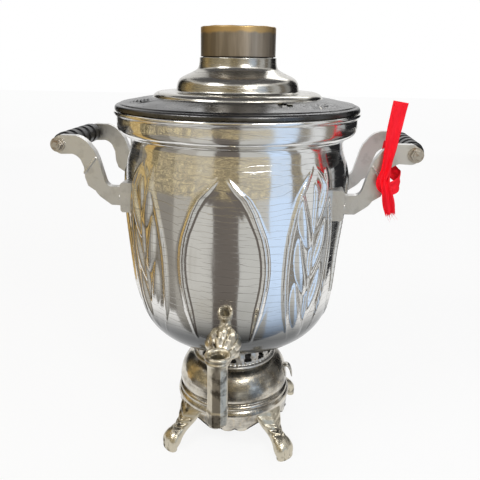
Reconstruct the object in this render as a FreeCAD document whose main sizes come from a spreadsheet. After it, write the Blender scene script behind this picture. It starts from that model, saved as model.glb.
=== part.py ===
"""Samovar: charcoal urn with lift-off lid, turning tap plug and two strap handles.

Origin on the floor under the axis, Z up, tap towards -Y, handles along X.
All lengths in millimetres, all angles in degrees.
"""

import FreeCAD, Part
import Sketcher
import math
import os

doc = FreeCAD.newDocument("samovar")
sheet = doc.addObject("Spreadsheet::Sheet", "sizes")
sheet.Label = "sizes"


class Size(object):
    """A length with its value and the spreadsheet formula that gives it."""

    def __init__(self, value, text):
        self.value = float(value)
        self.text = text

    def __add__(self, other):
        other = size(other)
        return Size(self.value + other.value, "(%s + %s)" % (self.text, other.text))

    def __radd__(self, other):
        return size(other) + self

    def __sub__(self, other):
        other = size(other)
        return Size(self.value - other.value, "(%s - %s)" % (self.text, other.text))

    def __rsub__(self, other):
        return size(other) - self

    def __mul__(self, other):
        other = size(other)
        return Size(self.value * other.value, "(%s * %s)" % (self.text, other.text))

    def __rmul__(self, other):
        return size(other) * self

    def __truediv__(self, other):
        other = size(other)
        return Size(self.value / other.value, "(%s / %s)" % (self.text, other.text))

    def __neg__(self):
        return Size(-self.value, "(0 - %s)" % self.text)

    def __float__(self):
        return self.value


def size(number):
    """Any number as a Size."""
    if isinstance(number, Size):
        return number
    return Size(number, "%.6g" % float(number) if number >= 0 else "(0 - %.6g)" % -float(number))


row_count = 0


def dim(name, value):
    """A driving dimension: one row of the sheet with its alias."""
    global row_count
    row_count += 1
    cell = "B%d" % row_count
    sheet.set("A%d" % row_count, name)
    sheet.set(cell, "%.6g" % value)
    sheet.setAlias(cell, name)
    return Size(value, "sizes.%s" % name)


# Main body sizes
wall = dim("wall", 1.2)
body_radius = dim("body_radius", 116.0)
body_top = dim("body_top", 345.0)
body_knee = dim("body_knee", 164.0)
groove_radius = dim("groove_radius", 110.4)
neck_radius = dim("neck_radius", 43.5)
ridge_height = dim("ridge_height", 1.6)

# Rim collar sizes
rim_radius = dim("rim_radius", 123.8)
rim_bottom = dim("rim_bottom", 344.5)
rim_top = dim("rim_top", 365.0)
bead_radius = dim("bead_radius", 127.0)

# Lid and chimney sizes
lid_radius = dim("lid_radius", 125.6)
lid_seat = dim("lid_seat", 367.1)
lid_step = dim("lid_step", 86.6)
lid_neck = dim("lid_neck", 39.9)
lid_top = dim("lid_top", 418.6)
chimney_radius = dim("chimney_radius", 38.0)
chimney_top = dim("chimney_top", 448.5)
tube_radius = dim("tube_radius", 36.0)
hearth_radius = dim("hearth_radius", 38.6)
slip = dim("slip", 0.6)

# Base and feet sizes
base_radius = dim("base_radius", 63.7)
dome_top = dim("dome_top", 90.0)
skirt_bottom = dim("skirt_bottom", 25.0)
foot_reach = dim("foot_reach", 87.0)
foot_width = dim("foot_width", 22.0)
foot_height = dim("foot_height", 14.0)
gallery_top = dim("gallery_top", 115.4)
window_width = dim("window_width", 7.5)
window_height = dim("window_height", 9.0)

# Tap sizes
tap_reach = dim("tap_reach", 140.0)
tap_level = dim("tap_level", 150.0)
ring_radius = dim("ring_radius", 11.5)
ring_top = dim("ring_top", 161.0)
spout_across = dim("spout_across", 17.5)
spout_bottom = dim("spout_bottom", 87.0)
plug_radius = dim("plug_radius", 7.6)
plug_play = dim("plug_play", 0.05)
plug_bore = dim("plug_bore", 5.6)
tube_bore = dim("tube_bore", 4.0)

# Handle sizes
bolt_reach = dim("bolt_reach", 174.0)
bolt_level = dim("bolt_level", 332.0)
strap_offset = dim("strap_offset", 50.0)
strap_width = dim("strap_width", 9.0)
rod_radius = dim("rod_radius", 3.0)
grip_radius = dim("grip_radius", 10.5)
grip_play = dim("grip_play", 0.3)
flange_level = dim("flange_level", 281.5)
flange_height = dim("flange_height", 30.0)


def bind(thing, prop, length):
    """Set a property and tie it to the sheet."""
    setattr(thing, prop, float(length))
    thing.setExpression(prop, length.text)


def arc_radius(first, last, bow):
    """Radius of the arc over a chord with a given bow."""
    across = size(last[0]) - size(first[0])
    along = size(last[1]) - size(first[1])
    return (across * across / 4 + along * along / 4 + size(bow) * size(bow)) / (2 * size(bow))


def outline(sketch, points):
    """Closed outline: points (x, y) or (x, y, bow) where bow rounds the piece that follows."""
    flat = [(float(p[0]), float(p[1])) for p in points]
    count = len(points)
    for i, point in enumerate(points):
        first = FreeCAD.Vector(flat[i][0], flat[i][1], 0)
        last = FreeCAD.Vector(flat[(i + 1) % count][0], flat[(i + 1) % count][1], 0)
        if len(point) == 3:
            chord = last - first
            side = FreeCAD.Vector(-chord.y, chord.x, 0)
            side.normalize()
            middle = (first + last) * 0.5 + side * float(point[2])
            ends = (last, first) if float(point[2]) > 0 else (first, last)
            sketch.addGeometry(Part.Arc(ends[0], middle, ends[1]), False)
        else:
            sketch.addGeometry(Part.LineSegment(first, last), False)
    starts = [2 if len(point) == 3 and float(point[2]) > 0 else 1 for point in points]
    for i in range(count):
        after = (i + 1) % count
        sketch.addConstraint(
            Sketcher.Constraint("Coincident", i, 3 - starts[i], after, starts[after]))
    for i, point in enumerate(points):
        for kind, axis, length in (("DistanceX", -2, point[0]), ("DistanceY", -1, point[1])):
            length = size(length)
            if abs(length.value) < 1e-9:
                sketch.addConstraint(Sketcher.Constraint("PointOnObject", i, starts[i], axis))
                continue
            rule = Sketcher.Constraint(kind, i, starts[i], length.value)
            number = sketch.addConstraint(rule)
            if "sizes" in length.text:
                sketch.setExpression("Constraints[%d]" % number, length.text)
        if len(point) == 3:
            after = points[(i + 1) % count]
            radius = arc_radius(point, after, abs(float(point[2])))
            number = sketch.addConstraint(Sketcher.Constraint("Radius", i, abs(radius.value)))
            if "sizes" in radius.text:
                sketch.setExpression("Constraints[%d]" % number, radius.text)


def plane(body, role):
    """One of the body's own origin planes or axes."""
    for item in body.Origin.OriginFeatures:
        if item.Role == role:
            return item
    return None


def new_body(label):
    body = doc.addObject("PartDesign::Body", label)
    body.Label = label
    if hasattr(body, "AllowCompound"):
        body.AllowCompound = True
    return body


def new_sketch(body, role, points, shift=None):
    """A sketch on an origin plane, moved along the plane's normal when asked."""
    sketch = body.newObject("Sketcher::SketchObject", body.Name + "_outline")
    sketch.AttachmentSupport = [(plane(body, role), "")]
    sketch.MapMode = "FlatFace"
    if shift is not None:
        sketch.AttachmentOffset = FreeCAD.Placement(
            FreeCAD.Vector(0, 0, float(shift)), FreeCAD.Rotation())
        sketch.setExpression(".AttachmentOffset.Base.z", size(shift).text)
    outline(sketch, points)
    return sketch


def circle_sketch(body, role, circles, shift=None):
    """Circles (x, y, radius) on an origin plane."""
    sketch = body.newObject("Sketcher::SketchObject", body.Name + "_circles")
    sketch.AttachmentSupport = [(plane(body, role), "")]
    sketch.MapMode = "FlatFace"
    if shift is not None:
        sketch.AttachmentOffset = FreeCAD.Placement(
            FreeCAD.Vector(0, 0, float(shift)), FreeCAD.Rotation())
        sketch.setExpression(".AttachmentOffset.Base.z", size(shift).text)
    for x, y, radius in circles:
        centre = FreeCAD.Vector(float(x), float(y), 0)
        index = sketch.addGeometry(Part.Circle(centre, FreeCAD.Vector(0, 0, 1), float(radius)), False)
        for kind, axis, length in (("DistanceX", -2, x), ("DistanceY", -1, y)):
            length = size(length)
            if abs(length.value) < 1e-9:
                sketch.addConstraint(Sketcher.Constraint("PointOnObject", index, 3, axis))
                continue
            number = sketch.addConstraint(Sketcher.Constraint(kind, index, 3, length.value))
            if "sizes" in length.text:
                sketch.setExpression("Constraints[%d]" % number, length.text)
        number = sketch.addConstraint(Sketcher.Constraint("Radius", index, float(radius)))
        sketch.setExpression("Constraints[%d]" % number, size(radius).text)
    return sketch


def revolve(body, points):
    """Full turn of a closed outline (radius, height) about the upright axis."""
    sketch = new_sketch(body, "XZ_Plane", points)
    feature = body.newObject("PartDesign::Revolution", body.Name + "_turn")
    feature.Profile = sketch
    feature.ReferenceAxis = (sketch, ["V_Axis"])
    feature.Angle = 360.0
    sketch.Visibility = False
    return feature


def revolved(label, points):
    body = new_body(label)
    revolve(body, points)
    return body


def pad(body, sketch, length, both=False, back=False):
    feature = body.newObject("PartDesign::Pad", body.Name + "_pad")
    feature.Profile = sketch
    bind(feature, "Length", size(length))
    feature.Midplane = both
    feature.Reversed = back
    sketch.Visibility = False
    return feature


def pocket(body, sketch, length=None, both=False, back=False):
    feature = body.newObject("PartDesign::Pocket", body.Name + "_cut")
    feature.Profile = sketch
    if length is None:
        feature.Type = "ThroughAll"
    else:
        bind(feature, "Length", size(length))
    feature.Midplane = both
    feature.Reversed = back
    sketch.Visibility = False
    return feature


def around(body, feature, count):
    """Repeat a feature evenly about the upright axis."""
    body.Tip = feature
    doc.recompute()
    pattern = body.newObject("PartDesign::PolarPattern", body.Name + "_round")
    pattern.Originals = [feature]
    pattern.Axis = (plane(body, "Z_Axis"), [""])
    pattern.Angle = 360.0
    pattern.Occurrences = count
    body.Tip = pattern
    return pattern


# Base bell
bell = revolved("base_bell", [
    (neck_radius + 1.0, dome_top),
    (neck_radius + 5.2, dome_top - 7.0),
    (neck_radius + 11.0, dome_top - 18.0),
    (neck_radius + 14.8, dome_top - 27.0),
    (base_radius - 5.0, dome_top - 32.6),
    (base_radius - 6.2, dome_top - 35.2),
    (base_radius - 2.4, dome_top - 37.4),
    (base_radius - 3.2, dome_top - 40.4),
    (base_radius, dome_top - 44.6),
    (base_radius - 0.4, dome_top - 48.0),
    (base_radius - 1.6, skirt_bottom + 10.0),
    (base_radius - 2.6, skirt_bottom),
    (base_radius - 2.6 - wall, skirt_bottom),
    (base_radius - 2.8 - wall, skirt_bottom + 15.0),
    (base_radius - 6.8 - wall, dome_top - 39.0),
    (neck_radius + 13.2 - wall, dome_top - 27.0),
    (neck_radius + 3.6 - wall, dome_top - 7.4),
    (neck_radius - wall, dome_top - 1.6),
    (neck_radius - 4.0, dome_top - 1.6),
    (neck_radius - 4.0, dome_top),
])
scallop = new_sketch(bell, "XZ_Plane", [
    (-27.0, skirt_bottom - 2.0),
    (-24.0, skirt_bottom + 3.0, 1.6),
    (-11.0, skirt_bottom + 1.2),
    (-9.0, skirt_bottom + 1.8, -1.8),
    (-1.2, skirt_bottom + 1.8),
    (0.0, skirt_bottom + 2.6),
    (1.2, skirt_bottom + 1.8, -1.8),
    (9.0, skirt_bottom + 1.8),
    (11.0, skirt_bottom + 1.2, 1.6),
    (24.0, skirt_bottom + 3.0),
    (27.0, skirt_bottom - 2.0),
])
scallop_cut = pocket(bell, scallop, base_radius + 20.0)
around(bell, scallop_cut, 4)

# Pierced neck gallery
gallery = revolved("neck_gallery", [
    (neck_radius + 2.4, dome_top),
    (neck_radius + 2.4, dome_top + 2.6),
    (neck_radius + 0.2, dome_top + 4.2),
    (neck_radius + 0.2, gallery_top - 6.0),
    (neck_radius + 1.8, gallery_top - 4.4),
    (neck_radius + 1.4, gallery_top - 2.4),
    (neck_radius + 4.0, gallery_top),
    (neck_radius - 10.0, gallery_top),
    (neck_radius - 10.0, gallery_top - 2.0),
    (neck_radius - 1.8, gallery_top - 3.4),
    (neck_radius - 1.8, dome_top),
])
window = new_sketch(gallery, "XZ_Plane", [
    (-window_width / 2, dome_top + 6.4),
    (window_width / 2, dome_top + 6.4),
    (window_width / 2, dome_top + 6.4 + window_height - 3.0, -3.0),
    (-window_width / 2, dome_top + 6.4 + window_height - 3.0),
])
window_cut = pocket(gallery, window, 2 * neck_radius + 20.0, both=True)
around(gallery, window_cut, 5)

# Body shell with raised leaves
skin_outer = [
    (groove_radius + 2.0, body_top),
    (groove_radius + 2.0, body_top - 4.0),
    (groove_radius + 0.3, body_top - 8.0),
    (groove_radius + 0.5, body_top - 15.0),
    (body_radius - 1.0, body_top - 32.0),
    (body_radius, body_top - 50.0),
    (body_radius - 1.8, body_top - 101.0),
    (body_radius - 11.4, body_knee),
    (body_radius - 16.0, body_knee - 14.6),
    (body_radius - 25.0, body_knee - 27.6),
    (body_radius - 42.0, body_knee - 39.8),
    (body_radius - 66.0, gallery_top),
]
skin_inner = [
    (body_radius - 66.4, gallery_top + wall),
    (body_radius - 42.6, body_knee - 38.6),
    (body_radius - 25.9, body_knee - 26.6),
    (body_radius - 17.1, body_knee - 14.1),
    (body_radius - 11.4 - wall, body_knee),
    (body_radius - 1.8 - wall, body_top - 101.0),
    (body_radius - wall, body_top - 50.0),
    (body_radius - 1.0 - wall, body_top - 32.0),
    (groove_radius + 0.5 - wall, body_top - 15.0),
    (groove_radius + 0.3 - wall, body_top - 7.6),
    (groove_radius + 2.0 - wall, body_top - 3.6),
    (groove_radius + 2.0 - wall, body_top),
]


def reversed_path(points):
    """The same path walked the other way, bows turned with it."""
    walked = []
    count = len(points)
    for i in range(count - 1, -1, -1):
        if i > 0 and len(points[i - 1]) == 3:
            walked.append((points[i][0], points[i][1], -points[i - 1][2]))
        else:
            walked.append((points[i][0], points[i][1]))
    return walked


def moved_out(points, step):
    """The path with every radius larger by one step."""
    return [(p[0] + step,) + tuple(p[1:]) for p in points]


turned_shell = revolved("shell_turned", skin_outer + [
    (hearth_radius, gallery_top),
    (hearth_radius, gallery_top + wall),
] + skin_inner)
core = revolved("body_core", skin_outer + [(0.0, gallery_top), (0.0, body_top)])
inside = revolved("body_inside", reversed_path(skin_inner) + [
    (0.0, gallery_top + wall),
    (0.0, body_top),
])
relief_path = moved_out(skin_outer[3:10], ridge_height)
relief = revolved("relief_skin", relief_path + [
    (body_radius - 48.0, body_knee - 27.0),
    (body_radius - 26.0, body_knee),
    (body_radius - 14.0, body_top - 101.0),
    (body_radius - 14.0, body_top - 20.0),
])


def crescent(body, side, apex, foot, outer, inner):
    """One raised rib between two arcs that meet in points."""
    sketch = new_sketch(body, "XZ_Plane", [
        (side * apex[0], apex[1], side * outer),
        (side * foot[0], foot[1], -side * inner),
    ], body_radius - 34.0)
    return pad(body, sketch, 50.0)


def leaf(body, side, root, tip, plump):
    """One raised leaf of a sprig."""
    sketch = new_sketch(body, "XZ_Plane", [
        (side * root[0], root[1], side * plump),
        (side * tip[0], tip[1], side * plump),
    ], body_radius - 34.0)
    return pad(body, sketch, 50.0)


def prisms(label, pieces, turn):
    """Raised pieces repeated at the four quarters."""
    body = new_body(label)
    done = [maker(body) for maker in pieces]
    body.Tip = done[-1]
    doc.recompute()
    pattern = body.newObject("PartDesign::PolarPattern", label + "_round")
    pattern.Originals = done
    pattern.Axis = (plane(body, "Z_Axis"), [""])
    pattern.Angle = 360.0
    pattern.Occurrences = 4
    body.Tip = pattern
    body.Placement = FreeCAD.Placement(
        FreeCAD.Vector(0, 0, 0), FreeCAD.Rotation(FreeCAD.Vector(0, 0, 1), turn))
    return body


almond_apex = (4.0, body_top - 31.0)
almond_foot = (27.0, body_top - 187.0)
sprig_apex = (2.4, body_top - 27.0)
sprig_foot = (16.0, body_top - 188.0)


def almond_left(body):
    return crescent(body, -1.0, almond_apex, almond_foot, 25.0, 20.5)


def almond_right(body):
    return crescent(body, 1.0, almond_apex, almond_foot, 25.0, 20.5)


def sprig_left(body):
    return crescent(body, -1.0, sprig_apex, sprig_foot, 18.5, 15.8)


def sprig_right(body):
    return crescent(body, 1.0, sprig_apex, sprig_foot, 18.5, 15.8)


def sprig_stem(body):
    return leaf(body, 1.0, (0.0, body_knee + 2.0), (0.2, body_top - 44.0), 1.7)


def leaf_maker(side, level):
    def make(body):
        return leaf(body, side, (2.6, level), (13.0, level + 25.0), 3.2)
    return make


leaves = []
for level in (body_knee + 10.0, body_knee + 42.0, body_knee + 74.0, body_knee + 106.0):
    leaves.append(leaf_maker(1.0, level))
    leaves.append(leaf_maker(-1.0, level + 6.0))

almonds = prisms("almond_prisms", [almond_left, almond_right], 0.0)
sprigs = prisms("sprig_prisms", [sprig_left, sprig_right, sprig_stem] + leaves, 45.0)


def combine(kind, label, shapes):
    """Boolean of several shapes, the result labelled."""
    result = doc.addObject(kind, label)
    result.Label = label
    result.Shapes = shapes
    return result


def together(label, shapes):
    """Several equal pieces kept as one group of solids."""
    result = doc.addObject("Part::Compound", label)
    result.Label = label
    result.Links = shapes
    return result


def cut(label, base, tool):
    result = doc.addObject("Part::Cut", label)
    result.Label = label
    result.Base = base
    result.Tool = tool
    return result


def place(thing, where, turn=None):
    """Placement with its three distances tied to the sheet."""
    point = FreeCAD.Vector(float(where[0]), float(where[1]), float(where[2]))
    thing.Placement = FreeCAD.Placement(point, turn or FreeCAD.Rotation())
    for letter, length in zip("xyz", where):
        length = size(length)
        if "sizes" in length.text:
            thing.setExpression(".Placement.Base." + letter, length.text)


def cylinder(label, radius, height, where=(0, 0, 0), axis=(0, 0, 1)):
    """Round bar whose start and direction are given, sizes from the sheet."""
    thing = doc.addObject("Part::Cylinder", label)
    thing.Label = label
    bind(thing, "Radius", size(radius))
    bind(thing, "Height", size(height))
    turn = FreeCAD.Rotation(FreeCAD.Vector(0, 0, 1), FreeCAD.Vector(*axis))
    place(thing, where, turn)
    return thing


def prism(label, radius, height, where, axis, count=6, spin=0.0):
    """Regular prism, used for nuts and for the faceted spout."""
    thing = doc.addObject("Part::Prism", label)
    thing.Label = label
    thing.Polygon = count
    bind(thing, "Circumradius", size(radius))
    bind(thing, "Height", size(height))
    turn = FreeCAD.Rotation(FreeCAD.Vector(0, 0, 1), FreeCAD.Vector(*axis))
    turn = turn.multiply(FreeCAD.Rotation(FreeCAD.Vector(0, 0, 1), spin))
    place(thing, where, turn)
    return thing


raised = combine("Part::MultiFuse", "raised_prisms", [almonds, sprigs])
raised_skin = combine("Part::MultiCommon", "raised_skin", [raised, relief])
tail_hole = cylinder("tail_hole", 7.2, 30.0, (0, 32.0 - body_radius, tap_level), (0, -1, 0))
plain_shell = cut("shell_bored", turned_shell, tail_hole)
raised_clear = cut("raised_clear", raised_skin, inside)
body_shell = combine("Part::MultiFuse", "body_shell", [plain_shell, raised_clear])

# Fire tube with its seat, chimney sleeve and grate
tube = revolved("fire_tube", [
    (hearth_radius, gallery_top),
    (hearth_radius - 1.6, gallery_top),
    (hearth_radius - 1.6, body_knee + 10.0),
    (tube_radius - 1.4, body_top - 90.0),
    (tube_radius - 1.4, chimney_top - 14.0),
    (tube_radius, chimney_top - 14.0),
    (tube_radius, body_top - 90.0),
    (hearth_radius, body_knee + 10.0),
])
sleeve = revolved("chimney_sleeve", [
    (chimney_radius - 0.8, chimney_top),
    (chimney_radius, chimney_top - 1.0),
    (chimney_radius, lid_top + 0.4),
    (tube_radius, lid_top + 0.4),
    (tube_radius, chimney_top),
])
grate = revolved("grate", [
    (0.0, gallery_top + 5.0),
    (hearth_radius - 2.2, gallery_top + 4.0),
    (hearth_radius - 2.2, gallery_top),
    (0.0, gallery_top),
])
slots = new_sketch(grate, "XY_Plane", [
    (2.4, 9.0),
    (3.6, hearth_radius - 8.0, 1.4),
    (-3.6, hearth_radius - 8.0),
    (-2.4, 9.0),
])
slot_cut = pocket(grate, slots, gallery_top + 20.0, back=True)
around(grate, slot_cut, 8)

# Rim collar soldered round the top of the body
collar = revolved("rim_collar", [
    (rim_radius - 1.4, rim_top + 1.8),
    (rim_radius + 0.8, rim_top + 1.8),
    (bead_radius, rim_top, 1.3),
    (rim_radius + 0.6, rim_top - 3.2),
    (rim_radius + 0.4, rim_top - 5.0),
    (rim_radius, rim_bottom + 4.0),
    (rim_radius - 1.4, rim_bottom + 1.0),
    (rim_radius - 5.0, rim_bottom - 1.6),
    (groove_radius + 4.4, rim_bottom - 3.2),
    (groove_radius + 2.0, rim_bottom - 5.0),
    (groove_radius + 2.0, rim_bottom - 1.0),
    (rim_radius - 6.0, rim_bottom + 0.4),
    (rim_radius - 1.6, rim_bottom + 5.0),
])

# Lid that lifts off over the chimney
lid_body = new_body("lid")
revolve(lid_body, [
    (lid_neck - 0.9, lid_top),
    (lid_neck, lid_top - 8.6),
    (lid_neck + 1.6, lid_top - 11.8),
    (lid_neck + 6.0, lid_top - 14.4),
    (lid_neck + 17.6, lid_top - 19.6),
    (lid_neck + 21.2, lid_top - 23.4),
    (lid_neck + 23.0, lid_top - 31.0),
    (lid_neck + 25.4, lid_top - 34.2),
    (lid_step - 4.2, lid_top - 34.4),
    (lid_step, lid_top - 38.0),
    (lid_step + 1.0, lid_top - 39.4),
    (lid_radius - 6.4, lid_seat + 6.6),
    (lid_radius - 1.6, lid_seat + 4.8),
    (lid_radius, lid_seat + 2.4),
    (lid_radius, lid_seat),
    (lid_radius - wall, lid_seat),
    (lid_radius - 2.8, lid_seat + 3.4),
    (lid_radius - 7.2, lid_seat + 5.4),
    (lid_step + 0.6, lid_top - 40.8),
    (lid_step - 5.0, lid_top - 36.0),
    (lid_neck + 24.6, lid_top - 35.6),
    (lid_neck + 21.0, lid_top - 30.0),
    (lid_neck + 16.2, lid_top - 20.8),
    (lid_neck + 5.2, lid_top - 15.8),
    (lid_neck - 1.2, lid_top - 9.4),
    (lid_neck - 1.3, lid_top),
])
knob_holes = circle_sketch(lid_body, "XY_Plane", [
    (49.0, -79.0, dim("knob_hole", 3.0)),
    (-93.0, -47.0, dim("knob_pin", 2.2)),
])
lid_body.Tip = pocket(lid_body, knob_holes, lid_top, back=True)
lid_ring = revolved("lid_ring", [
    (lid_radius - 6.4, lid_seat + 4.6),
    (lid_radius - 5.4, lid_seat + 4.2),
    (lid_radius - 5.4, lid_seat - 9.0),
    (lid_radius - 6.4, lid_seat - 9.0),
])

# Tap with its turning plug, rosette, gasket and lock nut
away = (0, -1, 0)
tail_tube = cylinder("tap_tail", 7.0, tap_reach - 78.0, (0, -78.0, tap_level), away)
barrel = cylinder("tap_barrel", ring_radius - 2.2, 26.0, (0, -tap_reach, ring_top - 26.6))
ring = revolved("tap_ring", [
    (ring_radius - 0.6, ring_top),
    (ring_radius, ring_top - 0.6),
    (ring_radius, ring_top - 2.4),
    (ring_radius - 0.8, ring_top - 4.2),
    (ring_radius - 0.8, ring_top - 5.2),
    (ring_radius - 1.6, ring_top - 7.0),
    (plug_radius - 1.0, ring_top - 7.0),
    (plug_radius - 1.0, ring_top),
])
place(ring, (0, -tap_reach, 0))
spout = prism("tap_spout", spout_across * 0.5412, ring_top - 6.0 - spout_bottom,
              (0, -tap_reach, spout_bottom), (0, 0, 1), 8, 22.5)
lug_left = cylinder("tap_lug_left", 1.6, 4.0, (1.0 - ring_radius, -tap_reach, ring_top - 5.0), (-1, 0, 0))
lug_right = cylinder("tap_lug_right", 1.6, 4.0, (ring_radius - 1.0, -tap_reach, ring_top - 5.0), (1, 0, 0))
tap_solid = combine("Part::MultiFuse", "tap_solid",
                    [tail_tube, barrel, ring, spout, lug_left, lug_right])
plug_hole = cylinder("plug_hole", plug_radius + plug_play, 24.0, (0, -tap_reach, ring_top - 22.0))
spout_hole = cylinder("spout_hole", plug_bore, ring_top, (0, -tap_reach, 0))
tail_bore = cylinder("tail_bore", tube_bore, tap_reach - 70.0, (0, -70.0, tap_level), away)
tap_holes = combine("Part::MultiFuse", "tap_holes", [plug_hole, spout_hole, tail_bore])
tap_body = cut("tap_body", tap_solid, tap_holes)

plug_blank = cylinder("plug_blank", plug_radius, 20.6, (0, -tap_reach, ring_top - 21.8))
plug_inner = cylinder("plug_inner", plug_bore, 40.0, (0, -tap_reach, ring_top - 30.0))
plug_port = cylinder("plug_port", tube_bore, ring_radius, (0, -tap_reach, tap_level), (1, 0, 0))
plug_holes = combine("Part::MultiFuse", "plug_holes", [plug_inner, plug_port])
tap_plug = cut("tap_plug", plug_blank, plug_holes)

ball = revolved("rosette_ball", [
    (8.6, 120.0),
    (9.4, 117.4),
    (12.4, 113.4),
    (14.4, 108.4),
    (14.8, 105.0),
    (14.8, 96.0),
    (7.05, 96.0),
    (7.05, 120.0),
])
ball.Placement = FreeCAD.Placement(
    FreeCAD.Vector(0, 0, float(tap_level)), FreeCAD.Rotation(FreeCAD.Vector(1, 0, 0), 90))
ball.setExpression(".Placement.Base.z", tap_level.text)
rosette = cut("tap_rosette", ball, core)
gasket_bar = cylinder("gasket_bar", 12.0, 16.0, (0, -90.0, tap_level), away)
gasket_bore = cylinder("gasket_bore", 7.05, 30.0, (0, -84.0, tap_level), away)
gasket_ring = cut("gasket_ring", gasket_bar, gasket_bore)
gasket = combine("Part::MultiCommon", "tap_gasket", [gasket_ring, inside])
lock_blank = prism("lock_blank", 12.0, 6.0, (0, -84.0, tap_level), away)
lock_bore = cylinder("lock_bore", 7.05, 30.0, (0, -78.0, tap_level), away)
lock_nut = cut("tap_lock_nut", lock_blank, lock_bore)

# Handle brackets, rods, grips, nuts, washers and rivet heads
strap_outline = [
    (100.0, flange_level + 8.5),
    (121.8, flange_level + 9.5, -1.2),
    (127.6, bolt_level - 34.0),
    (133.6, bolt_level - 13.0),
    (136.6, bolt_level - 6.0),
    (142.6, bolt_level + 1.6, 1.2),
    (155.4, bolt_level + 9.4),
    (bolt_reach - 3.0, bolt_level + 9.6, 8.0),
    (bolt_reach - 3.0, bolt_level - 9.4),
    (159.6, bolt_level - 9.0, -1.0),
    (151.0, bolt_level - 15.0),
    (148.2, bolt_level - 22.0),
    (147.4, bolt_level - 33.0),
    (144.6, bolt_level - 41.0),
    (137.0, bolt_level - 46.0, 0.6),
    (130.0, bolt_level - 53.6),
    (121.0, flange_level - 9.4),
    (100.0, flange_level - 10.0),
]


def strap(label, sign, turn):
    """One cast strap with its foot pad, cut to lie on the body."""
    body = new_body(label + "_cast")
    low = flange_level - flange_height / 2
    high = flange_level + flange_height / 2
    sketch = new_sketch(body, "XZ_Plane", strap_outline, sign * strap_offset)
    pad(body, sketch, strap_width, both=True)
    foot = [
        (96.0, low),
        (96.0, high),
        (108.4, high),
        (110.0, high - 2.0),
        (110.0, low + 2.0),
        (108.4, low),
    ]
    sketch = new_sketch(body, "XZ_Plane", foot, sign * strap_offset)
    pad(body, sketch, strap_width + 13.0, both=True)
    holes = circle_sketch(body, "XZ_Plane", [(bolt_reach, bolt_level, rod_radius)])
    bore = pocket(body, holes, 2 * strap_offset + 40.0, both=True)
    body.Tip = bore
    body.Placement = FreeCAD.Placement(
        FreeCAD.Vector(0, 0, 0), FreeCAD.Rotation(FreeCAD.Vector(0, 0, 1), turn))
    return cut(label, body, core)


straps = [
    strap("strap_right_front", 1.0, 0.0),
    strap("strap_right_rear", -1.0, 0.0),
    strap("strap_left_front", -1.0, 180.0),
    strap("strap_left_rear", 1.0, 180.0),
]


def grip(label, side):
    """Turned grip with raised ribs, on the rod between the straps."""
    half = strap_offset - strap_width / 2
    points = [(grip_radius - 3.5, half), (grip_radius - 1.6, half), (grip_radius - 0.6, half - 3.0)]
    for step in (0.72, 0.36, 0.0, -0.36, -0.72):
        top = half * step
        points.append((grip_radius - 1.4, top + 5.6))
        points.append((grip_radius, top + 4.2))
        points.append((grip_radius, top - 4.2))
        points.append((grip_radius - 1.4, top - 5.6))
    points.append((grip_radius - 0.6, 3.0 - half))
    points.append((grip_radius - 1.6, -half))
    points.append((rod_radius, -half))
    points.append((rod_radius, half))
    points.pop(0)
    body = revolved(label, points)
    body.Placement = FreeCAD.Placement(
        FreeCAD.Vector(side * float(bolt_reach), 0, float(bolt_level)),
        FreeCAD.Rotation(FreeCAD.Vector(1, 0, 0), 90))
    body.setExpression(".Placement.Base.x", (side * bolt_reach).text)
    body.setExpression(".Placement.Base.z", bolt_level.text)
    return body


grip_right = grip("grip_right", 1.0)
grip_left = grip("grip_left", -1.0)

rods = []
washers = []
nuts = []
heads = []
for side in (-1, 1):
    reach = side * bolt_reach
    name = "right" if side > 0 else "left"
    span = 2 * strap_offset + strap_width + 13.0
    start = -(strap_offset + strap_width / 2 + 6.5)
    rods.append(cylinder("rod_" + name, rod_radius, span, (reach, start, bolt_level), (0, 1, 0)))
    for end in (-1, 1):
        tag = name + ("_front" if end < 0 else "_rear")
        face = end * (strap_offset + strap_width / 2)
        disc = cylinder("washer_disc_" + tag, 7.4, 1.2, (reach, face, bolt_level), (0, end, 0))
        hole = cylinder("washer_hole_" + tag, rod_radius, 1.2, (reach, face, bolt_level), (0, end, 0))
        washers.append(cut("washer_" + tag, disc, hole))
        seat = end * (strap_offset + strap_width / 2 + 1.2)
        blank = prism("nut_blank_" + tag, 5.4, 4.2, (reach, seat, bolt_level), (0, end, 0))
        thread = cylinder("nut_hole_" + tag, rod_radius, 4.2, (reach, seat, bolt_level), (0, end, 0))
        nuts.append(cut("nut_" + tag, blank, thread))
        for shift in (-8.0, 8.0):
            spot = (side * 110.0, end * strap_offset + shift, flange_level)
            head = cylinder("head_%s_%d" % (tag, shift + 8), 2.2, 1.4, spot, (side, 0, 0))
            heads.append(head)
handle_rods = together("handle_rods", rods)
rod_washers = together("rod_washers", washers)
rod_nuts = together("rod_nuts", nuts)
rivet_heads = together("bracket_rivet_heads", heads)

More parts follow.
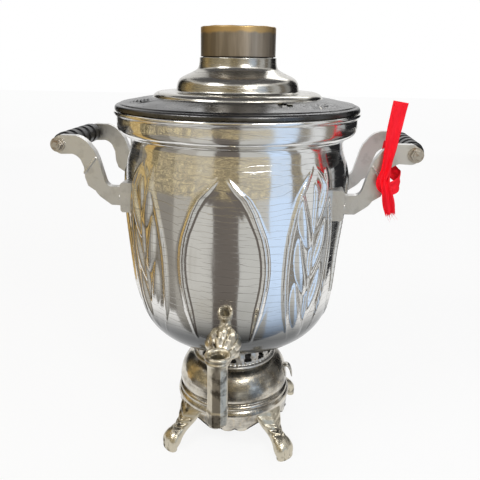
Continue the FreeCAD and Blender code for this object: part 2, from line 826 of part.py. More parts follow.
# Feet, one casting at each diagonal
foot_outline = [
    (54.0, 40.0),
    (62.6, 40.0, 1.6),
    (68.0, 30.0),
    (72.0, 24.0),
    (80.0, 21.6, 4.2),
    (foot_reach + 8.0, 12.0, 1.2),
    (foot_reach + 9.0, 4.0),
    (foot_reach + 8.0, 0.0),
    (foot_reach - 8.0, 0.0),
    (foot_reach - 10.0, 5.0, -2.4),
    (66.0, 16.0, -2.0),
    (58.5, 24.0),
]
feet = []
skirt_core = revolved("skirt_core", [
    (0.0, 60.0),
    (base_radius - 5.0, 60.0),
    (base_radius - 5.0, skirt_bottom + 17.0),
    (base_radius - 1.0, skirt_bottom + 17.0, 0.9),
    (base_radius - 1.6, skirt_bottom + 10.0),
    (base_radius - 2.6, skirt_bottom),
    (base_radius - 6.0, skirt_bottom),
    (0.0, skirt_bottom),
])
for label, turn in (("foot_right_front", -45.0), ("foot_left_front", -135.0),
                    ("foot_left_rear", 135.0), ("foot_right_rear", 45.0)):
    body = new_body(label + "_cast")
    sketch = new_sketch(body, "XZ_Plane", foot_outline)
    leg = pad(body, sketch, foot_width, both=True)
    body.Tip = leg
    body.Placement = FreeCAD.Placement(
        FreeCAD.Vector(0, 0, 0), FreeCAD.Rotation(FreeCAD.Vector(0, 0, 1), turn))
    feet.append(cut(label, body, skirt_core))

# Curled tab on the side of the base
tab = new_body("side_tab")
tab_sketch = new_sketch(tab, "XZ_Plane", [
    (57.0, 72.2),
    (60.0, 75.4, 1.0),
    (65.4, 71.0),
    (67.4, 61.0),
    (66.0, 60.8),
    (64.0, 70.0, -1.0),
    (59.8, 73.9),
    (57.4, 70.8),
])
tab.Tip = pad(tab, tab_sketch, 11.0, both=True)

# Ribbon tied on the right handle
ribbon = new_body("red_ribbon")
ribbon_sketch = new_sketch(ribbon, "XZ_Plane", [
    (149.0, 381.0),
    (162.5, 381.0),
    (159.0, 350.0),
    (157.0, 332.0),
    (160.0, 318.0),
    (157.0, 302.0),
    (162.0, 276.0),
    (150.5, 274.0),
    (146.0, 300.0),
    (138.0, 316.0),
    (145.0, 332.0),
    (147.0, 352.0),
], strap_offset + strap_width / 2)
ribbon.Tip = pad(ribbon, ribbon_sketch, 1.6)

doc.recompute()

pieces = [
    bell, gallery, body_shell, tube, sleeve, grate, collar, lid_body, lid_ring,
    tap_body, tap_plug, rosette, gasket, lock_nut,
    grip_right, grip_left, handle_rods, rod_washers, rod_nuts, rivet_heads, tab, ribbon,
] + straps + feet

# Every object must be sound before anything is written
for thing in doc.Objects:
    state = list(thing.State)
    if "Invalid" in state or "Error" in state:
        raise RuntimeError("%s is not sound: %s" % (thing.Label, state))
for thing in pieces:
    shape = thing.Shape
    if shape.isNull() or not shape.isValid() or shape.Volume <= 0:
        raise RuntimeError("%s has no valid solid" % thing.Label)
    bounds = shape.BoundBox
    print("%-24s solids %d volume %.0f x %.1f %.1f y %.1f %.1f z %.1f %.1f" % (
        thing.Label, len(shape.Solids), shape.Volume, bounds.XMin, bounds.XMax,
        bounds.YMin, bounds.YMax, bounds.ZMin, bounds.ZMax))

os.makedirs("parts", exist_ok=True)
for thing in pieces:
    thing.Shape.exportStep("parts/%s.step" % thing.Label)
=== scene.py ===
"""Samovar of polished nickel, red ribbon on its right handle.

Metres, Z up, tap towards -Y. Surfaces come from profiles of radius and height
turned about the upright axis, with raised work added by formula.
"""
import bmesh
import bpy
import math
import numpy as np
from mathutils import Matrix, Vector


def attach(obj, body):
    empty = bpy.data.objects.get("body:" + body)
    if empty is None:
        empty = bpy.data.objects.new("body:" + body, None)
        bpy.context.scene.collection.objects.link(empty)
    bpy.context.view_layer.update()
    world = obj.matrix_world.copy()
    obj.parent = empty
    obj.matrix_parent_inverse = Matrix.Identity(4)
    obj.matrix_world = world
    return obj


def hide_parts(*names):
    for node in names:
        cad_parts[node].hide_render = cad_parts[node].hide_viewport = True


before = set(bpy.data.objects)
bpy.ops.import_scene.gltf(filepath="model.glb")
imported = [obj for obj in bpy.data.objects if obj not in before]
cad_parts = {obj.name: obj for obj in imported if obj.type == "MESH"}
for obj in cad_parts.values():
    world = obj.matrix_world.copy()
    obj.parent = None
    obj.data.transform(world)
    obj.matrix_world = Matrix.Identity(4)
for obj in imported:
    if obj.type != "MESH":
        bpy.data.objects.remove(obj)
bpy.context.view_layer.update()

MM = 0.001
BODY = "samovar"


# Meshes

def make_object(name, points, faces, smooth=True):
    """Object from points in metres and faces as lists of indices."""
    mesh = bpy.data.meshes.new(name)
    mesh.from_pydata([tuple(p) for p in points], [], [tuple(f) for f in faces])
    mesh.validate()
    mesh.update()
    if smooth:
        mesh.polygons.foreach_set("use_smooth", [True] * len(mesh.polygons))
    piece = bpy.data.objects.new(name, mesh)
    bpy.context.scene.collection.objects.link(piece)
    return piece


def grid_faces(rows, columns, wrap=True, keep=None):
    """Quads over a grid; wrap joins the last column to the first."""
    across = columns if wrap else columns - 1
    i, j = np.meshgrid(np.arange(rows - 1), np.arange(across), indexing="ij")
    k = (j + 1) % columns
    here, below = i * columns, (i + 1) * columns
    quads = np.stack([here + j, below + j, below + k, here + k], -1)
    if keep is not None:
        return quads[keep]
    return quads.reshape(-1, 4)


def face_out(piece):
    """Faces of a closed piece turned outwards."""
    work = bmesh.new()
    work.from_mesh(piece.data)
    bmesh.ops.recalc_face_normals(work, faces=work.faces)
    work.to_mesh(piece.data)
    work.free()
    return piece


def resample(profile, count):
    """Points evenly spaced along a polyline of (radius, height)."""
    p = np.array(profile, float)
    step = np.hypot(*np.diff(p, axis=0).T)
    along = np.concatenate([[0.0], np.cumsum(step)])
    s = np.linspace(0.0, along[-1], count)
    return np.stack([np.interp(s, along, p[:, 0]), np.interp(s, along, p[:, 1])], 1)


def curve_profile(profile, count, ease=2):
    """Profile with rounded corners: corner cutting, then even spacing."""
    p = np.array(profile, float)
    for _ in range(ease):
        q = 0.75 * p[:-1] + 0.25 * p[1:]
        r = 0.25 * p[:-1] + 0.75 * p[1:]
        cut = np.empty((2 * len(q), 2))
        cut[0::2] = q
        cut[1::2] = r
        p = np.vstack([p[:1], cut, p[-1:]])
    return resample(p, count)


def turned(name, profile, columns=240, shift=None, keep=None):
    """Profile (mm) turned about Z: x = r sin a, y = -r cos a.

    A profile that runs from top to bottom faces outwards.
    shift(a, r, z) gives moved radius and height; keep(a, r, z) picks the quads."""
    rows = len(profile)
    a = np.linspace(0, 2 * np.pi, columns, endpoint=False)
    r = np.repeat(profile[:, 0:1], columns, 1)
    z = np.repeat(profile[:, 1:2], columns, 1)
    angle = np.repeat(a[None, :], rows, 0)
    if shift is not None:
        r, z = shift(angle, r, z)
    x = r * np.sin(angle)
    y = -r * np.cos(angle)
    points = np.stack([x, y, z], -1).reshape(-1, 3) * MM
    mask = None
    if keep is not None:
        mask = keep(angle[:-1], r[:-1], z[:-1])
    return make_object(name, points, grid_faces(rows, columns, True, mask))


def thicken(piece, depth, offset=-1.0, inner=None):
    """Sheet metal of a real thickness; inner is the finish of its back."""
    if inner:
        piece.data.materials.append(inner)
    solid = piece.modifiers.new("thickness", "SOLIDIFY")
    solid.thickness = depth * MM
    solid.offset = offset
    solid.use_even_offset = False
    if inner:
        solid.material_offset = 1
    return piece


def wrapped(angle):
    """Angle brought between minus and plus half a turn."""
    return (angle + np.pi) % (2 * np.pi) - np.pi


def bump_at(distance, width):
    """Round hump: 1 at distance nought, falling off over the width."""
    return np.exp(-(distance / width) ** 2)


def squared(wave, power=0.6):
    """A sine or cosine drawn towards plus or minus 1, which makes an oval squarer."""
    return np.sign(wave) * np.abs(wave) ** power


# Shader maths

class Wire:
    """A shader value that takes the usual operators."""
    tree = None

    def __init__(self, socket):
        self.socket = socket

    @classmethod
    def maths(cls, operation, *values):
        node = cls.tree.nodes.new("ShaderNodeMath")
        node.operation = operation
        for slot, value in zip(node.inputs, values):
            cls.feed(slot, value)
        return cls(node.outputs[0])

    @classmethod
    def feed(cls, slot, value):
        if isinstance(value, Wire):
            cls.tree.links.new(value.socket, slot)
        else:
            slot.default_value = value

    @classmethod
    def node(cls, kind, out=0, **inputs):
        node = cls.tree.nodes.new(kind)
        for key, value in inputs.items():
            cls.feed(node.inputs[key.replace("_", " ")], value)
        return cls(node.outputs[out])

    def __add__(self, other):
        return Wire.maths("ADD", self, other)

    def __radd__(self, other):
        return Wire.maths("ADD", other, self)

    def __sub__(self, other):
        return Wire.maths("SUBTRACT", self, other)

    def __rsub__(self, other):
        return Wire.maths("SUBTRACT", other, self)

    def __mul__(self, other):
        return Wire.maths("MULTIPLY", self, other)

    def __rmul__(self, other):
        return Wire.maths("MULTIPLY", other, self)

    def step(self, low, high):
        """0 below low, 1 above high, smooth between."""
        node = Wire.tree.nodes.new("ShaderNodeMapRange")
        node.interpolation_type = "SMOOTHSTEP"
        Wire.feed(node.inputs[0], self)
        Wire.feed(node.inputs[1], low)
        Wire.feed(node.inputs[2], high)
        return Wire(node.outputs[0])


def position():
    """Object coordinates, in metres, as a vector and as x, y and z."""
    coordinates = Wire.tree.nodes.new("ShaderNodeTexCoord")
    split = Wire.tree.nodes.new("ShaderNodeSeparateXYZ")
    Wire.tree.links.new(coordinates.outputs["Object"], split.inputs[0])
    return [Wire(coordinates.outputs["Object"])] + [Wire(part) for part in split.outputs]


def stretched(vector, x, y, z):
    """Coordinates scaled along each axis: a larger figure gives a finer pattern."""
    return Wire.node("ShaderNodeMapping", 0, Vector=vector, Scale=(x, y, z))


def noise(vector, scale, detail=3.0, rough=0.5):
    return Wire.node("ShaderNodeTexNoise", 0, Vector=vector, Scale=scale, Detail=detail,
                     Roughness=rough)


def blend(amount, first, second):
    """Mix of two colours."""
    node = Wire.tree.nodes.new("ShaderNodeMix")
    node.data_type = "RGBA"
    Wire.feed(node.inputs[0], amount)
    Wire.feed(node.inputs[6], first)
    Wire.feed(node.inputs[7], second)
    return Wire(node.outputs[2])


def colour(r, g, b):
    return (r, g, b, 1.0)


def surface(base, rough, metal=1.0, height=None, strength=0.3, distance=0.001, **fixed):
    """Surface of the material just begun; base, rough and height may be wires."""
    shader = Wire.shader
    Wire.feed(shader.inputs["Base Color"], base)
    Wire.feed(shader.inputs["Roughness"], rough)
    Wire.feed(shader.inputs["Metallic"], metal)
    for key, value in fixed.items():
        Wire.feed(shader.inputs[key.replace("_", " ")], value)
    if height is not None:
        node = Wire.tree.nodes.new("ShaderNodeBump")
        node.inputs["Strength"].default_value = strength
        node.inputs["Distance"].default_value = distance
        Wire.feed(node.inputs["Height"], height)
        Wire.tree.links.new(node.outputs[0], shader.inputs["Normal"])
    return Wire.material


def begin(name):
    """New material; gives the object coordinates as a vector, x, y and z."""
    material = bpy.data.materials.new(name)
    material.use_nodes = True
    tree = material.node_tree
    tree.nodes.clear()
    out = tree.nodes.new("ShaderNodeOutputMaterial")
    shader = tree.nodes.new("ShaderNodeBsdfPrincipled")
    tree.links.new(shader.outputs[0], out.inputs[0])
    Wire.tree = tree
    Wire.shader = shader
    Wire.material = material
    return position()


def polished_nickel(name, tint=(0.80, 0.79, 0.765), low=0.05, high=0.16, scratch=0.25, warm=0.0,
                    lines=0.3, painted_shade_band=None):
    """Nickel plate: wavy hairlines round the form, smudges, a little warm tarnish, painted shade
    low down.

    low and high are the roughness of clean and smudged plate, warm adds tarnish, lines is how
    plain the hairlines show, and the last argument gives the heights between which the painted
    shade fades out."""
    vector, x, _, z = begin(name)
    cloud = noise(vector, 9.0, 4.0)
    smudge = cloud.step(0.45, 0.72)
    hair = noise(stretched(vector, 6.0, 6.0, 700.0), 1.0, 2.0)
    wave = noise(stretched(vector, 16.0, 16.0, 34.0), 1.0, 2.0)
    drift = noise(stretched(vector, 60.0, 60.0, 12.0), 1.0, 2.0)
    level = (z + wave * 0.020) * 165.0
    slant = (z - wave * 0.013 + x * 0.10) * 118.0
    first = Wire.maths("ABSOLUTE", Wire.maths("FRACT", level) - 0.5)
    second = Wire.maths("ABSOLUTE", Wire.maths("FRACT", slant) - 0.5)
    line = Wire.maths("MAXIMUM", (1.0 - first.step(0.012, 0.045)) * drift.step(0.42, 0.56),
                      (1.0 - second.step(0.012, 0.05)) * drift.step(0.62, 0.48))
    stain = noise(vector, 22.0, 5.0).step(0.52, 0.78)
    tarnished = colour(tint[0] * 0.86, tint[1] * 0.78, tint[2] * 0.62)
    base = blend(stain * (0.25 + warm), colour(*tint), tarnished)
    base = blend(line * lines, base, colour(0.30, 0.285, 0.26))
    rough = smudge * (high - low) + low + hair.step(0.55, 0.75) * 0.05 + line * 0.12
    if painted_shade_band:
        # Painted shade: below these heights the colour goes near black, standing in for the shade
        # on the body's under-curve.
        dark = 1.0 - (z + (cloud - 0.5) * 0.010).step(*painted_shade_band)
        base = blend(dark * 0.9, base, colour(0.06, 0.064, 0.068))
        rough = rough + dark * 0.06
    height = hair * 0.5 + noise(vector, 160.0, 2.0) * 0.4 - line * 2.0 * lines
    return surface(base, rough, 1.0, height, scratch, 0.00012)


def dull_nickel(name, tint=(0.085, 0.084, 0.084), rough_low=0.26):
    """Lid plate gone grey, with pits and specks."""
    vector = begin(name)[0]
    patches = noise(vector, 26.0, 5.0, 0.6).step(0.42, 0.66)
    specks = noise(vector, 420.0, 2.0).step(0.66, 0.72)
    base = blend(patches, colour(*tint), colour(tint[0] * 1.5, tint[1] * 1.5, tint[2] * 1.48))
    base = blend(specks, base, colour(0.05, 0.05, 0.05))
    rough = patches * 0.1 + rough_low + specks * 0.3
    return surface(base, rough, 1.0, noise(vector, 220.0, 4.0) - specks * 0.5, 0.25, 0.0003)


def old_nickel(name):
    """Worn plate of the base: soft sheen, brown-grey in the hollows, yellow where it is rubbed."""
    vector = begin(name)[0]
    cloud = noise(vector, 34.0, 5.0, 0.6)
    fine = noise(vector, 210.0, 4.0, 0.6)
    drag = noise(stretched(vector, 20.0, 20.0, 130.0), 1.0, 3.0)
    worn = (cloud * 0.6 + drag * 0.4).step(0.40, 0.62)
    base = blend(worn, colour(0.19, 0.175, 0.15), colour(0.66, 0.62, 0.54))
    base = blend(fine.step(0.52, 0.70) * 0.5, base, colour(0.62, 0.52, 0.36))
    rough = (1.0 - worn) * 0.12 + 0.13 + fine * 0.06
    return surface(base, rough, 1.0, cloud * 1.2 + fine * 0.5, 0.3, 0.0005)


GOLD_BAND = (0.4405, 0.4435)


def burnt_brass(name):
    """Chimney end: brown-grey heat stain, a gold band at the top and streaks down it."""
    vector, _, _, z = begin(name)
    streak = noise(stretched(vector, 90.0, 90.0, 6.0), 1.0, 4.0, 0.6)
    cloud = noise(vector, 60.0, 5.0, 0.6)
    edge = (z + (cloud - 0.5) * 0.008).step(*GOLD_BAND)
    base = blend(streak.step(0.35, 0.7), colour(0.20, 0.165, 0.125), colour(0.36, 0.31, 0.25))
    base = blend(edge, base, colour(0.50, 0.34, 0.15))
    rough = cloud * 0.2 + 0.33
    return surface(base, rough, 0.92, cloud + streak * 0.5, 0.3, 0.0003)


def cast_metal(name, tint, rough=0.3, grain=0.35, dark=(0.16, 0.15, 0.13), contrast=0.5):
    """Cast pieces: soft grain, darker in the pits."""
    vector = begin(name)[0]
    cloud = noise(vector, 70.0, 5.0, 0.6)
    fine = noise(vector, 420.0, 3.0, 0.6)
    pits = (1.0 - cloud.step(0.34, 0.5)) * contrast
    base = blend(pits, colour(*tint), colour(*dark))
    return surface(base, fine * 0.18 + rough, 1.0, fine + cloud * 1.5, grain, 0.0004)


def black_plastic(name):
    """Moulded grip: near black, greyer where hands wear it."""
    vector = begin(name)[0]
    wear = noise(vector, 120.0, 4.0).step(0.55, 0.8)
    base = blend(wear, colour(0.010, 0.010, 0.011), colour(0.04, 0.038, 0.036))
    return surface(base, wear * 0.2 + 0.34, 0.0, noise(vector, 300.0, 3.0), 0.15, 0.0002,
                   Specular_IOR_Level=0.35)


def steel(name, tint=(0.52, 0.49, 0.45)):
    """Bolts and washers with spots of rust."""
    vector = begin(name)[0]
    rust = noise(vector, 240.0, 4.0).step(0.5, 0.72)
    base = blend(rust, colour(*tint), colour(0.28, 0.20, 0.13))
    return surface(base, rust * 0.25 + 0.3, 0.9, noise(vector, 500.0, 3.0), 0.25, 0.0002)


THREAD_PITCH = 9000.0


def red_cloth(name):
    """Satin ribbon: fine cross ribs, THREAD_PITCH radians to the metre, and a bright red."""
    vector, x, _, z = begin(name)
    weave = Wire.maths("SINE", z * THREAD_PITCH) * 0.5 + Wire.maths("SINE", x * THREAD_PITCH) * 0.5
    cloud = noise(vector, 60.0, 3.0)
    base = blend(cloud, colour(0.92, 0.002, 0.012), colour(1.0, 0.010, 0.030))
    return surface(base, 0.62, 0.0, weave, 0.12, 0.0001, Specular_IOR_Level=0.25)


def iron(name, shade=1.0):
    """Burnt iron; a low shade gives soot."""
    vector = begin(name)[0]
    cloud = noise(vector, 90.0, 5.0)
    base = blend(cloud, colour(0.03 * shade, 0.028 * shade, 0.026 * shade),
                 colour(0.09 * shade, 0.075 * shade, 0.06 * shade))
    return surface(base, cloud * 0.2 + 0.6, 0.6 * shade, cloud, 0.5, 0.0006)


def rubber(name):
    """Seal: dark, soft and matt."""
    vector = begin(name)[0]
    cloud = noise(vector, 150.0, 3.0)
    base = blend(cloud, colour(0.02, 0.02, 0.02), colour(0.04, 0.04, 0.04))
    return surface(base, 0.7, 0.0, cloud, 0.2, 0.0003)


def dress(piece, material):
    piece.data.materials.clear()
    piece.data.materials.append(material)
    return piece


def place(piece, material, nodes=(), body=BODY):
    """Material, body and the CAD nodes that the piece stands for."""
    dress(piece, material)
    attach(piece, body)
    if nodes:
        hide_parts(*nodes)
    return piece


# The body's nickel carries a painted shade band low down, fading out between 149 and 180 mm.
NICKEL = polished_nickel("body_nickel", low=0.09, high=0.21, lines=0.38, painted_shade_band=(0.149, 0.180))
RIM_NICKEL = polished_nickel("rim_nickel", low=0.07, high=0.2, warm=0.15)
BASE_NICKEL = old_nickel("base_nickel")
GALLERY_NICKEL = cast_metal("gallery_nickel", (0.54, 0.52, 0.48), 0.24, 0.4,
                            (0.25, 0.245, 0.23), 0.4)
LID_DULL = dull_nickel("lid_dull")
LID_BRIGHT = polished_nickel("lid_bright", (0.46, 0.44, 0.395), 0.17, 0.32, 0.3, 0.5)
CHIMNEY = burnt_brass("chimney_stain")
TAP_METAL = cast_metal("tap_metal", (0.70, 0.645, 0.53), 0.27, 0.5, (0.13, 0.115, 0.09), 0.9)
FOOT_METAL = cast_metal("foot_metal", (0.58, 0.53, 0.42), 0.22, 0.7, (0.06, 0.052, 0.04), 0.98)
ALUMINIUM = cast_metal("cast_aluminium", (0.70, 0.695, 0.68), 0.30, 0.4, (0.40, 0.39, 0.37), 0.3)
BLACK = black_plastic("grip_black")
STEEL = steel("bolt_steel")
BRASS = cast_metal("plug_brass", (0.60, 0.56, 0.46), 0.3, 0.3)
RED = red_cloth("ribbon_red")
IRON = iron("grate_iron")
RUBBER = rubber("gasket_rubber")
SOOT = iron("soot", 0.12)


# Body: spun shell with eight embossed panels

SKIN = [(112.4, 345.0), (112.4, 341.0), (110.8, 337.6), (110.5, 334.0), (110.8, 330.0),
        (112.4, 323.0), (114.2, 317.0), (115.3, 309.0), (115.9, 300.0), (116.0, 292.0),
        (115.9, 280.0), (115.5, 268.0), (114.9, 256.0), (114.0, 244.0), (112.6, 228.0),
        (110.9, 210.0), (108.8, 192.0), (106.7, 177.0), (104.4, 164.0), (102.8, 157.0),
        (99.9, 150.0), (96.2, 143.4), (91.0, 136.6), (84.0, 130.4), (75.0, 125.2), (64.0, 120.4),
        (50.0, 115.6)]


def panel_half(z, outline):
    """Half width in mm of a panel at height z, along the skin."""
    p = np.array(sorted(outline, key=lambda q: q[1]))
    return np.radians(np.interp(z, p[:, 1], p[:, 0])) * PANEL_RADIUS


PANELS = 8
PANEL_RADIUS = 112.0
# Half angle in degrees at each height in mm, for the plain and the leafy panels
ALMOND = [(1.6, 316), (5.2, 308), (10.3, 297), (13.4, 285), (15.6, 273), (17.8, 261), (19.2, 249),
          (20.1, 236), (20.3, 225), (20.0, 212), (19.2, 200), (17.8, 183), (15.6, 162),
          (14.6, 152)]
SPRIG = [(1.2, 322), (5.0, 311), (9.0, 297), (11.6, 280), (13.4, 262), (14.3, 245), (14.5, 228),
         (14.2, 210), (13.4, 192), (12.0, 175), (9.6, 157), (8.0, 148)]
LEAF_PAIRS = 3
LEAF_FOOT = 152.0
LEAF_PITCH = 46.0
LEAF_TILT = math.radians(17.0)


def emboss(a, r, z):
    """Raised work in mm: round ribs along each panel's outline, a wavy stem and domed leaves.

    A leaf is the top of an ellipsoid, tilted from the stem, with a faint vein."""
    lift = np.zeros_like(r)
    for k in range(PANELS):
        local = wrapped(a - k * np.pi / 4)
        u = local * PANEL_RADIUS
        near = np.abs(local) < np.radians(24.0)
        if k % 2 == 0:
            half = panel_half(z, ALMOND)
            fade = np.clip((317.0 - z) / 16.0, 0, 1) * np.clip((z - 150.0) / 34.0, 0, 1)
            width = 0.7 + 2.3 * fade
            rib = bump_at(np.abs(u) - half, width) * fade ** 0.7 * 2.7
            hollow = -0.5 * np.clip((half - np.abs(u)) / 12.0, 0, 1) * fade
            lift += np.where(near, rib + hollow, 0)
        else:
            half = panel_half(z, SPRIG)
            fade = np.clip((323.0 - z) / 18.0, 0, 1) * np.clip((z - 147.0) / 30.0, 0, 1)
            rib = bump_at(np.abs(u) - half, 0.6 + 1.5 * fade) * fade ** 0.7 * 1.9
            stem = bump_at(u - 1.0 * np.sin(z / 21.0), 1.9) * 2.0
            lift += np.where(near, rib + stem * np.clip((312.0 - z) / 12, 0, 1) * fade, 0)
            for n in range(LEAF_PAIRS):
                for side in (-1.0, 1.0):
                    root = LEAF_FOOT + n * LEAF_PITCH + (16.0 if side > 0 else 0.0)
                    tilt = LEAF_TILT
                    du = side * u - 11.5 + 0.004 * (z - root - 24.0) ** 2
                    dz = z - (root + 28.0)
                    along = du * math.sin(tilt) + dz * math.cos(tilt)
                    across = du * math.cos(tilt) - dz * math.sin(tilt)
                    shape = 1.0 - (along / 35.0) ** 2 - (across / (6.6 - 0.07 * along)) ** 2
                    vein = 1.0 - 0.12 * bump_at(across - 1.5, 2.4)
                    leaf = np.clip(shape, 0, 1) ** 1.15 * 3.4 * vein
                    lift = np.where(near, np.maximum(lift, leaf), lift)
    return lift


def body_shift(a, r, z):
    """Emboss, with the slight waviness of a spun and stamped skin."""
    wave = 0.10 * np.sin(5 * a + z * 0.05) + 0.07 * np.sin(11 * a - z * 0.09)
    inside = np.clip((z - 120.0) / 20.0, 0, 1) * np.clip((336.0 - z) / 10.0, 0, 1)
    return r + emboss(a, r, z) + wave * inside, z


body = turned("body_skin", curve_profile(SKIN, 168), 590, body_shift)
place(body, NICKEL, ["body_shell"])
lining = turned("body_lining", curve_profile([(max(r - 1.6, 38.8), z + 1.0) for r, z in SKIN[:-1]]
                                             + [(48.0, 117.0), (38.9, 117.0)], 70), 160)
lining.data.flip_normals()
place(lining, BASE_NICKEL)
floor_ring = turned("body_floor", np.array([(50.0, 115.6), (44.0, 115.5), (38.9, 115.5)]), 160)
place(floor_ring, SOOT)

# Rim collar

COLLAR = [(121.9, 366.6), (124.4, 366.7), (126.2, 366.0), (126.9, 364.8), (126.6, 363.2),
          (125.4, 362.0), (124.3, 361.4), (124.1, 359.6), (124.0, 355.0), (123.8, 350.6),
          (123.4, 348.2), (121.8, 345.6), (119.0, 343.2), (116.8, 342.2), (115.6, 341.9),
          (115.2, 341.0), (114.4, 340.4), (113.4, 340.0), (112.6, 339.5)]


def collar_shift(a, r, z):
    """Slight dents of long use."""
    return r + 0.12 * np.sin(3 * a + 1.0) + 0.08 * np.sin(17 * a + z * 0.2), z


collar = turned("collar_band", curve_profile(COLLAR, 60, 1), 420, collar_shift)
place(collar, RIM_NICKEL, ["rim_collar"])
COLLAR_INSIDE = [(121.9, 366.6), (121.8, 350.0), (117.6, 345.0), (112.4, 344.9)]
collar_inner = turned("collar_lining", np.array(COLLAR_INSIDE), 200)
collar_inner.data.flip_normals()
place(collar_inner, BASE_NICKEL)

# Lid: neck, shoulder, step and the wide dull cone

NECK = [(38.6, 418.4), (39.1, 418.6), (39.3, 417.4), (39.2, 416.0), (39.5, 412.0), (39.9, 410.4),
        (40.1, 409.2), (41.6, 406.6), (45.6, 404.2), (51.6, 401.4), (57.0, 399.0), (60.0, 396.4),
        (61.8, 393.4), (62.6, 389.6), (63.0, 386.6), (64.0, 384.9), (66.5, 384.2), (72.0, 384.3),
        (79.0, 384.4), (83.0, 383.6), (85.6, 381.9), (86.5, 380.4), (86.7, 379.3), (87.4, 378.9)]
CONE = [(87.4, 378.9), (90.0, 378.6), (98.0, 377.3), (106.0, 376.0), (113.0, 374.7),
        (118.6, 373.6), (120.2, 373.4), (121.2, 372.2), (122.6, 372.0), (123.9, 371.6),
        (125.0, 370.6), (125.5, 369.3), (125.5, 367.4)]


CONE_MIDDLE = 104.0


def lid_dents(a, r, z):
    """Dents and a wavering edge on the wide cone."""
    mid = np.clip((r - 88.0) / 8.0, 0, 1) * np.clip((121.5 - r) / 5.0, 0, 1)
    dent = 0.35 * np.sin(7 * a + 1.3) * np.sin(r * 0.21) + 0.25 * np.sin(13 * a + r * 0.1)
    right = (bump_at(wrapped(a - np.radians(52.0)) * CONE_MIDDLE, 20.0)
             * bump_at(r - CONE_MIDDLE, 9.0))
    left = bump_at(wrapped(a + np.radians(60.0)) * CONE_MIDDLE, 16.0) * bump_at(r - 101.0, 9.0)
    crumple = np.sin(r * 1.1 + 9 * np.sin(a * 14)) * 0.6 + np.sin(a * 75.0 + r * 0.7) * 0.5
    return r, z + (dent * 0.5) * mid + (right + left) * (crumple - 1.2) * mid


HOLE_ANGLE, HOLE_REACH = np.radians(31.8), 93.0
SMALL_HOLE_ANGLE, SMALL_HOLE_REACH, SMALL_HOLE_RADIUS = np.radians(-63.2), 104.2, 2.3


def lid_keep(a, r, z):
    """Everything but the torn hole, a wedge that narrows outwards, and the small round hole."""
    u = wrapped(a - HOLE_ANGLE) * HOLE_REACH
    v = r - HOLE_REACH
    torn = (v > -3.4) & (v < 4.6) & (np.abs(u + 0.4 * v) < 4.6 - 0.75 * (v + 3.4) * 0.5)
    b = wrapped(a - SMALL_HOLE_ANGLE) * SMALL_HOLE_REACH
    small = (b ** 2 + (r - SMALL_HOLE_REACH) ** 2) < SMALL_HOLE_RADIUS ** 2
    return ~(torn | small)


neck = turned("lid_neck", curve_profile(NECK, 110, 1), 300)
place(neck, LID_BRIGHT, body="lid_unit")
cone = turned("lid_cone", curve_profile(CONE, 110, 1), 620, lid_dents, lid_keep)
place(cone, LID_DULL, ["lid"], body="lid_unit")
LID_INSIDE = [(38.6, 418.0), (38.7, 409.4), (45.0, 402.8), (56.4, 397.4), (60.8, 392.0),
              (61.8, 385.4), (65.0, 383.2), (82.0, 382.4), (85.4, 379.0), (88.0, 377.4),
              (118.4, 372.2), (123.6, 370.2), (124.3, 367.4)]
under = turned("lid_lining", np.array(LID_INSIDE), 160)
place(under, LID_BRIGHT, body="lid_unit")
under.data.flip_normals()
lip = turned("lid_lip", np.array([(125.5, 367.4), (124.3, 367.4)]), 300)
place(lip, LID_BRIGHT, body="lid_unit")


def flap(name, centre, corners, material):
    """Bent tongue of lid metal.

    Corners are along the rim, outwards and up from a point at an angle, radius and height."""
    angle, radius, height = centre
    points = []
    for u, v, w in corners:
        r = radius + v
        points.append(((r * math.sin(angle) + u * math.cos(angle)) * MM,
                       (-r * math.cos(angle) + u * math.sin(angle)) * MM, (height + w) * MM))
    piece = make_object(name, points, [list(range(len(points)))], False)
    bend = piece.modifiers.new("rows", "SUBSURF")
    bend.subdivision_type = "SIMPLE"
    bend.levels = bend.render_levels = 2
    thicken(piece, 0.5, 0.0)
    place(piece, material, body="lid_unit")
    return piece


flap("lid_flap_a", (HOLE_ANGLE, HOLE_REACH, 378.0),
     [(-5.6, -2.8, 0.3), (-3.8, -3.4, 0.2), (-0.6, 1.6, 1.4), (-2.6, 3.2, 1.8)], LID_BRIGHT)
flap("lid_flap_b", (HOLE_ANGLE, HOLE_REACH, 377.6),
     [(4.0, -2.0, 0.4), (11.0, -1.4, 0.6), (8.0, 4.8, 0.8), (3.0, 3.6, 0.8)], LID_BRIGHT)

# Chimney end

SLEEVE = [(34.7, 434.6), (36.0, 436.0), (36.2, 448.2), (37.0, 448.5), (37.7, 448.3),
          (38.0, 447.6), (38.0, 419.0), (36.2, 419.0)]


def sleeve_shift(a, r, z):
    """Slightly ragged top edge."""
    top = np.clip((z - 446.0) / 2.5, 0, 1)
    return r + 0.08 * np.sin(4 * a), z - top * (0.25 + 0.25 * np.sin(9 * a) * np.sin(4 * a + 1))


sleeve = turned("chimney_end", resample(SLEEVE, 60), 240, sleeve_shift)
place(sleeve, CHIMNEY, ["chimney_sleeve"])

# Neck gallery with pierced windows

GALLERY = [(45.0, 89.6), (46.4, 90.0), (46.9, 91.4), (46.0, 92.8), (44.4, 93.6), (43.8, 95.6),
           (43.7, 103.0), (43.8, 109.0), (44.8, 110.0), (45.4, 111.2), (44.9, 112.8),
           (46.0, 114.2), (47.4, 115.3)]
WINDOWS = 16
WINDOW_TURN = math.radians(3.0)
WINDOW_FOOT, WINDOW_HEAD = 97.2, 107.0
WINDOW_HALF = 3.9
GALLERY_RADIUS = 44.0


def gallery_shift(a, r, z):
    """Bosses between the windows, and scalloped beads above and below."""
    phase = wrapped((a - WINDOW_TURN) * WINDOWS + np.pi) / WINDOWS
    boss = bump_at(phase * GALLERY_RADIUS, 3.0) * bump_at(z - 101.5, 3.6) * 1.6
    upper = 0.6 * np.cos(2 * WINDOWS * a) * bump_at(z - 111.0, 2.4)
    lower = 0.4 * np.cos(60 * a) * bump_at(z - 95.0, 1.6)
    return r + boss + (upper + lower), z


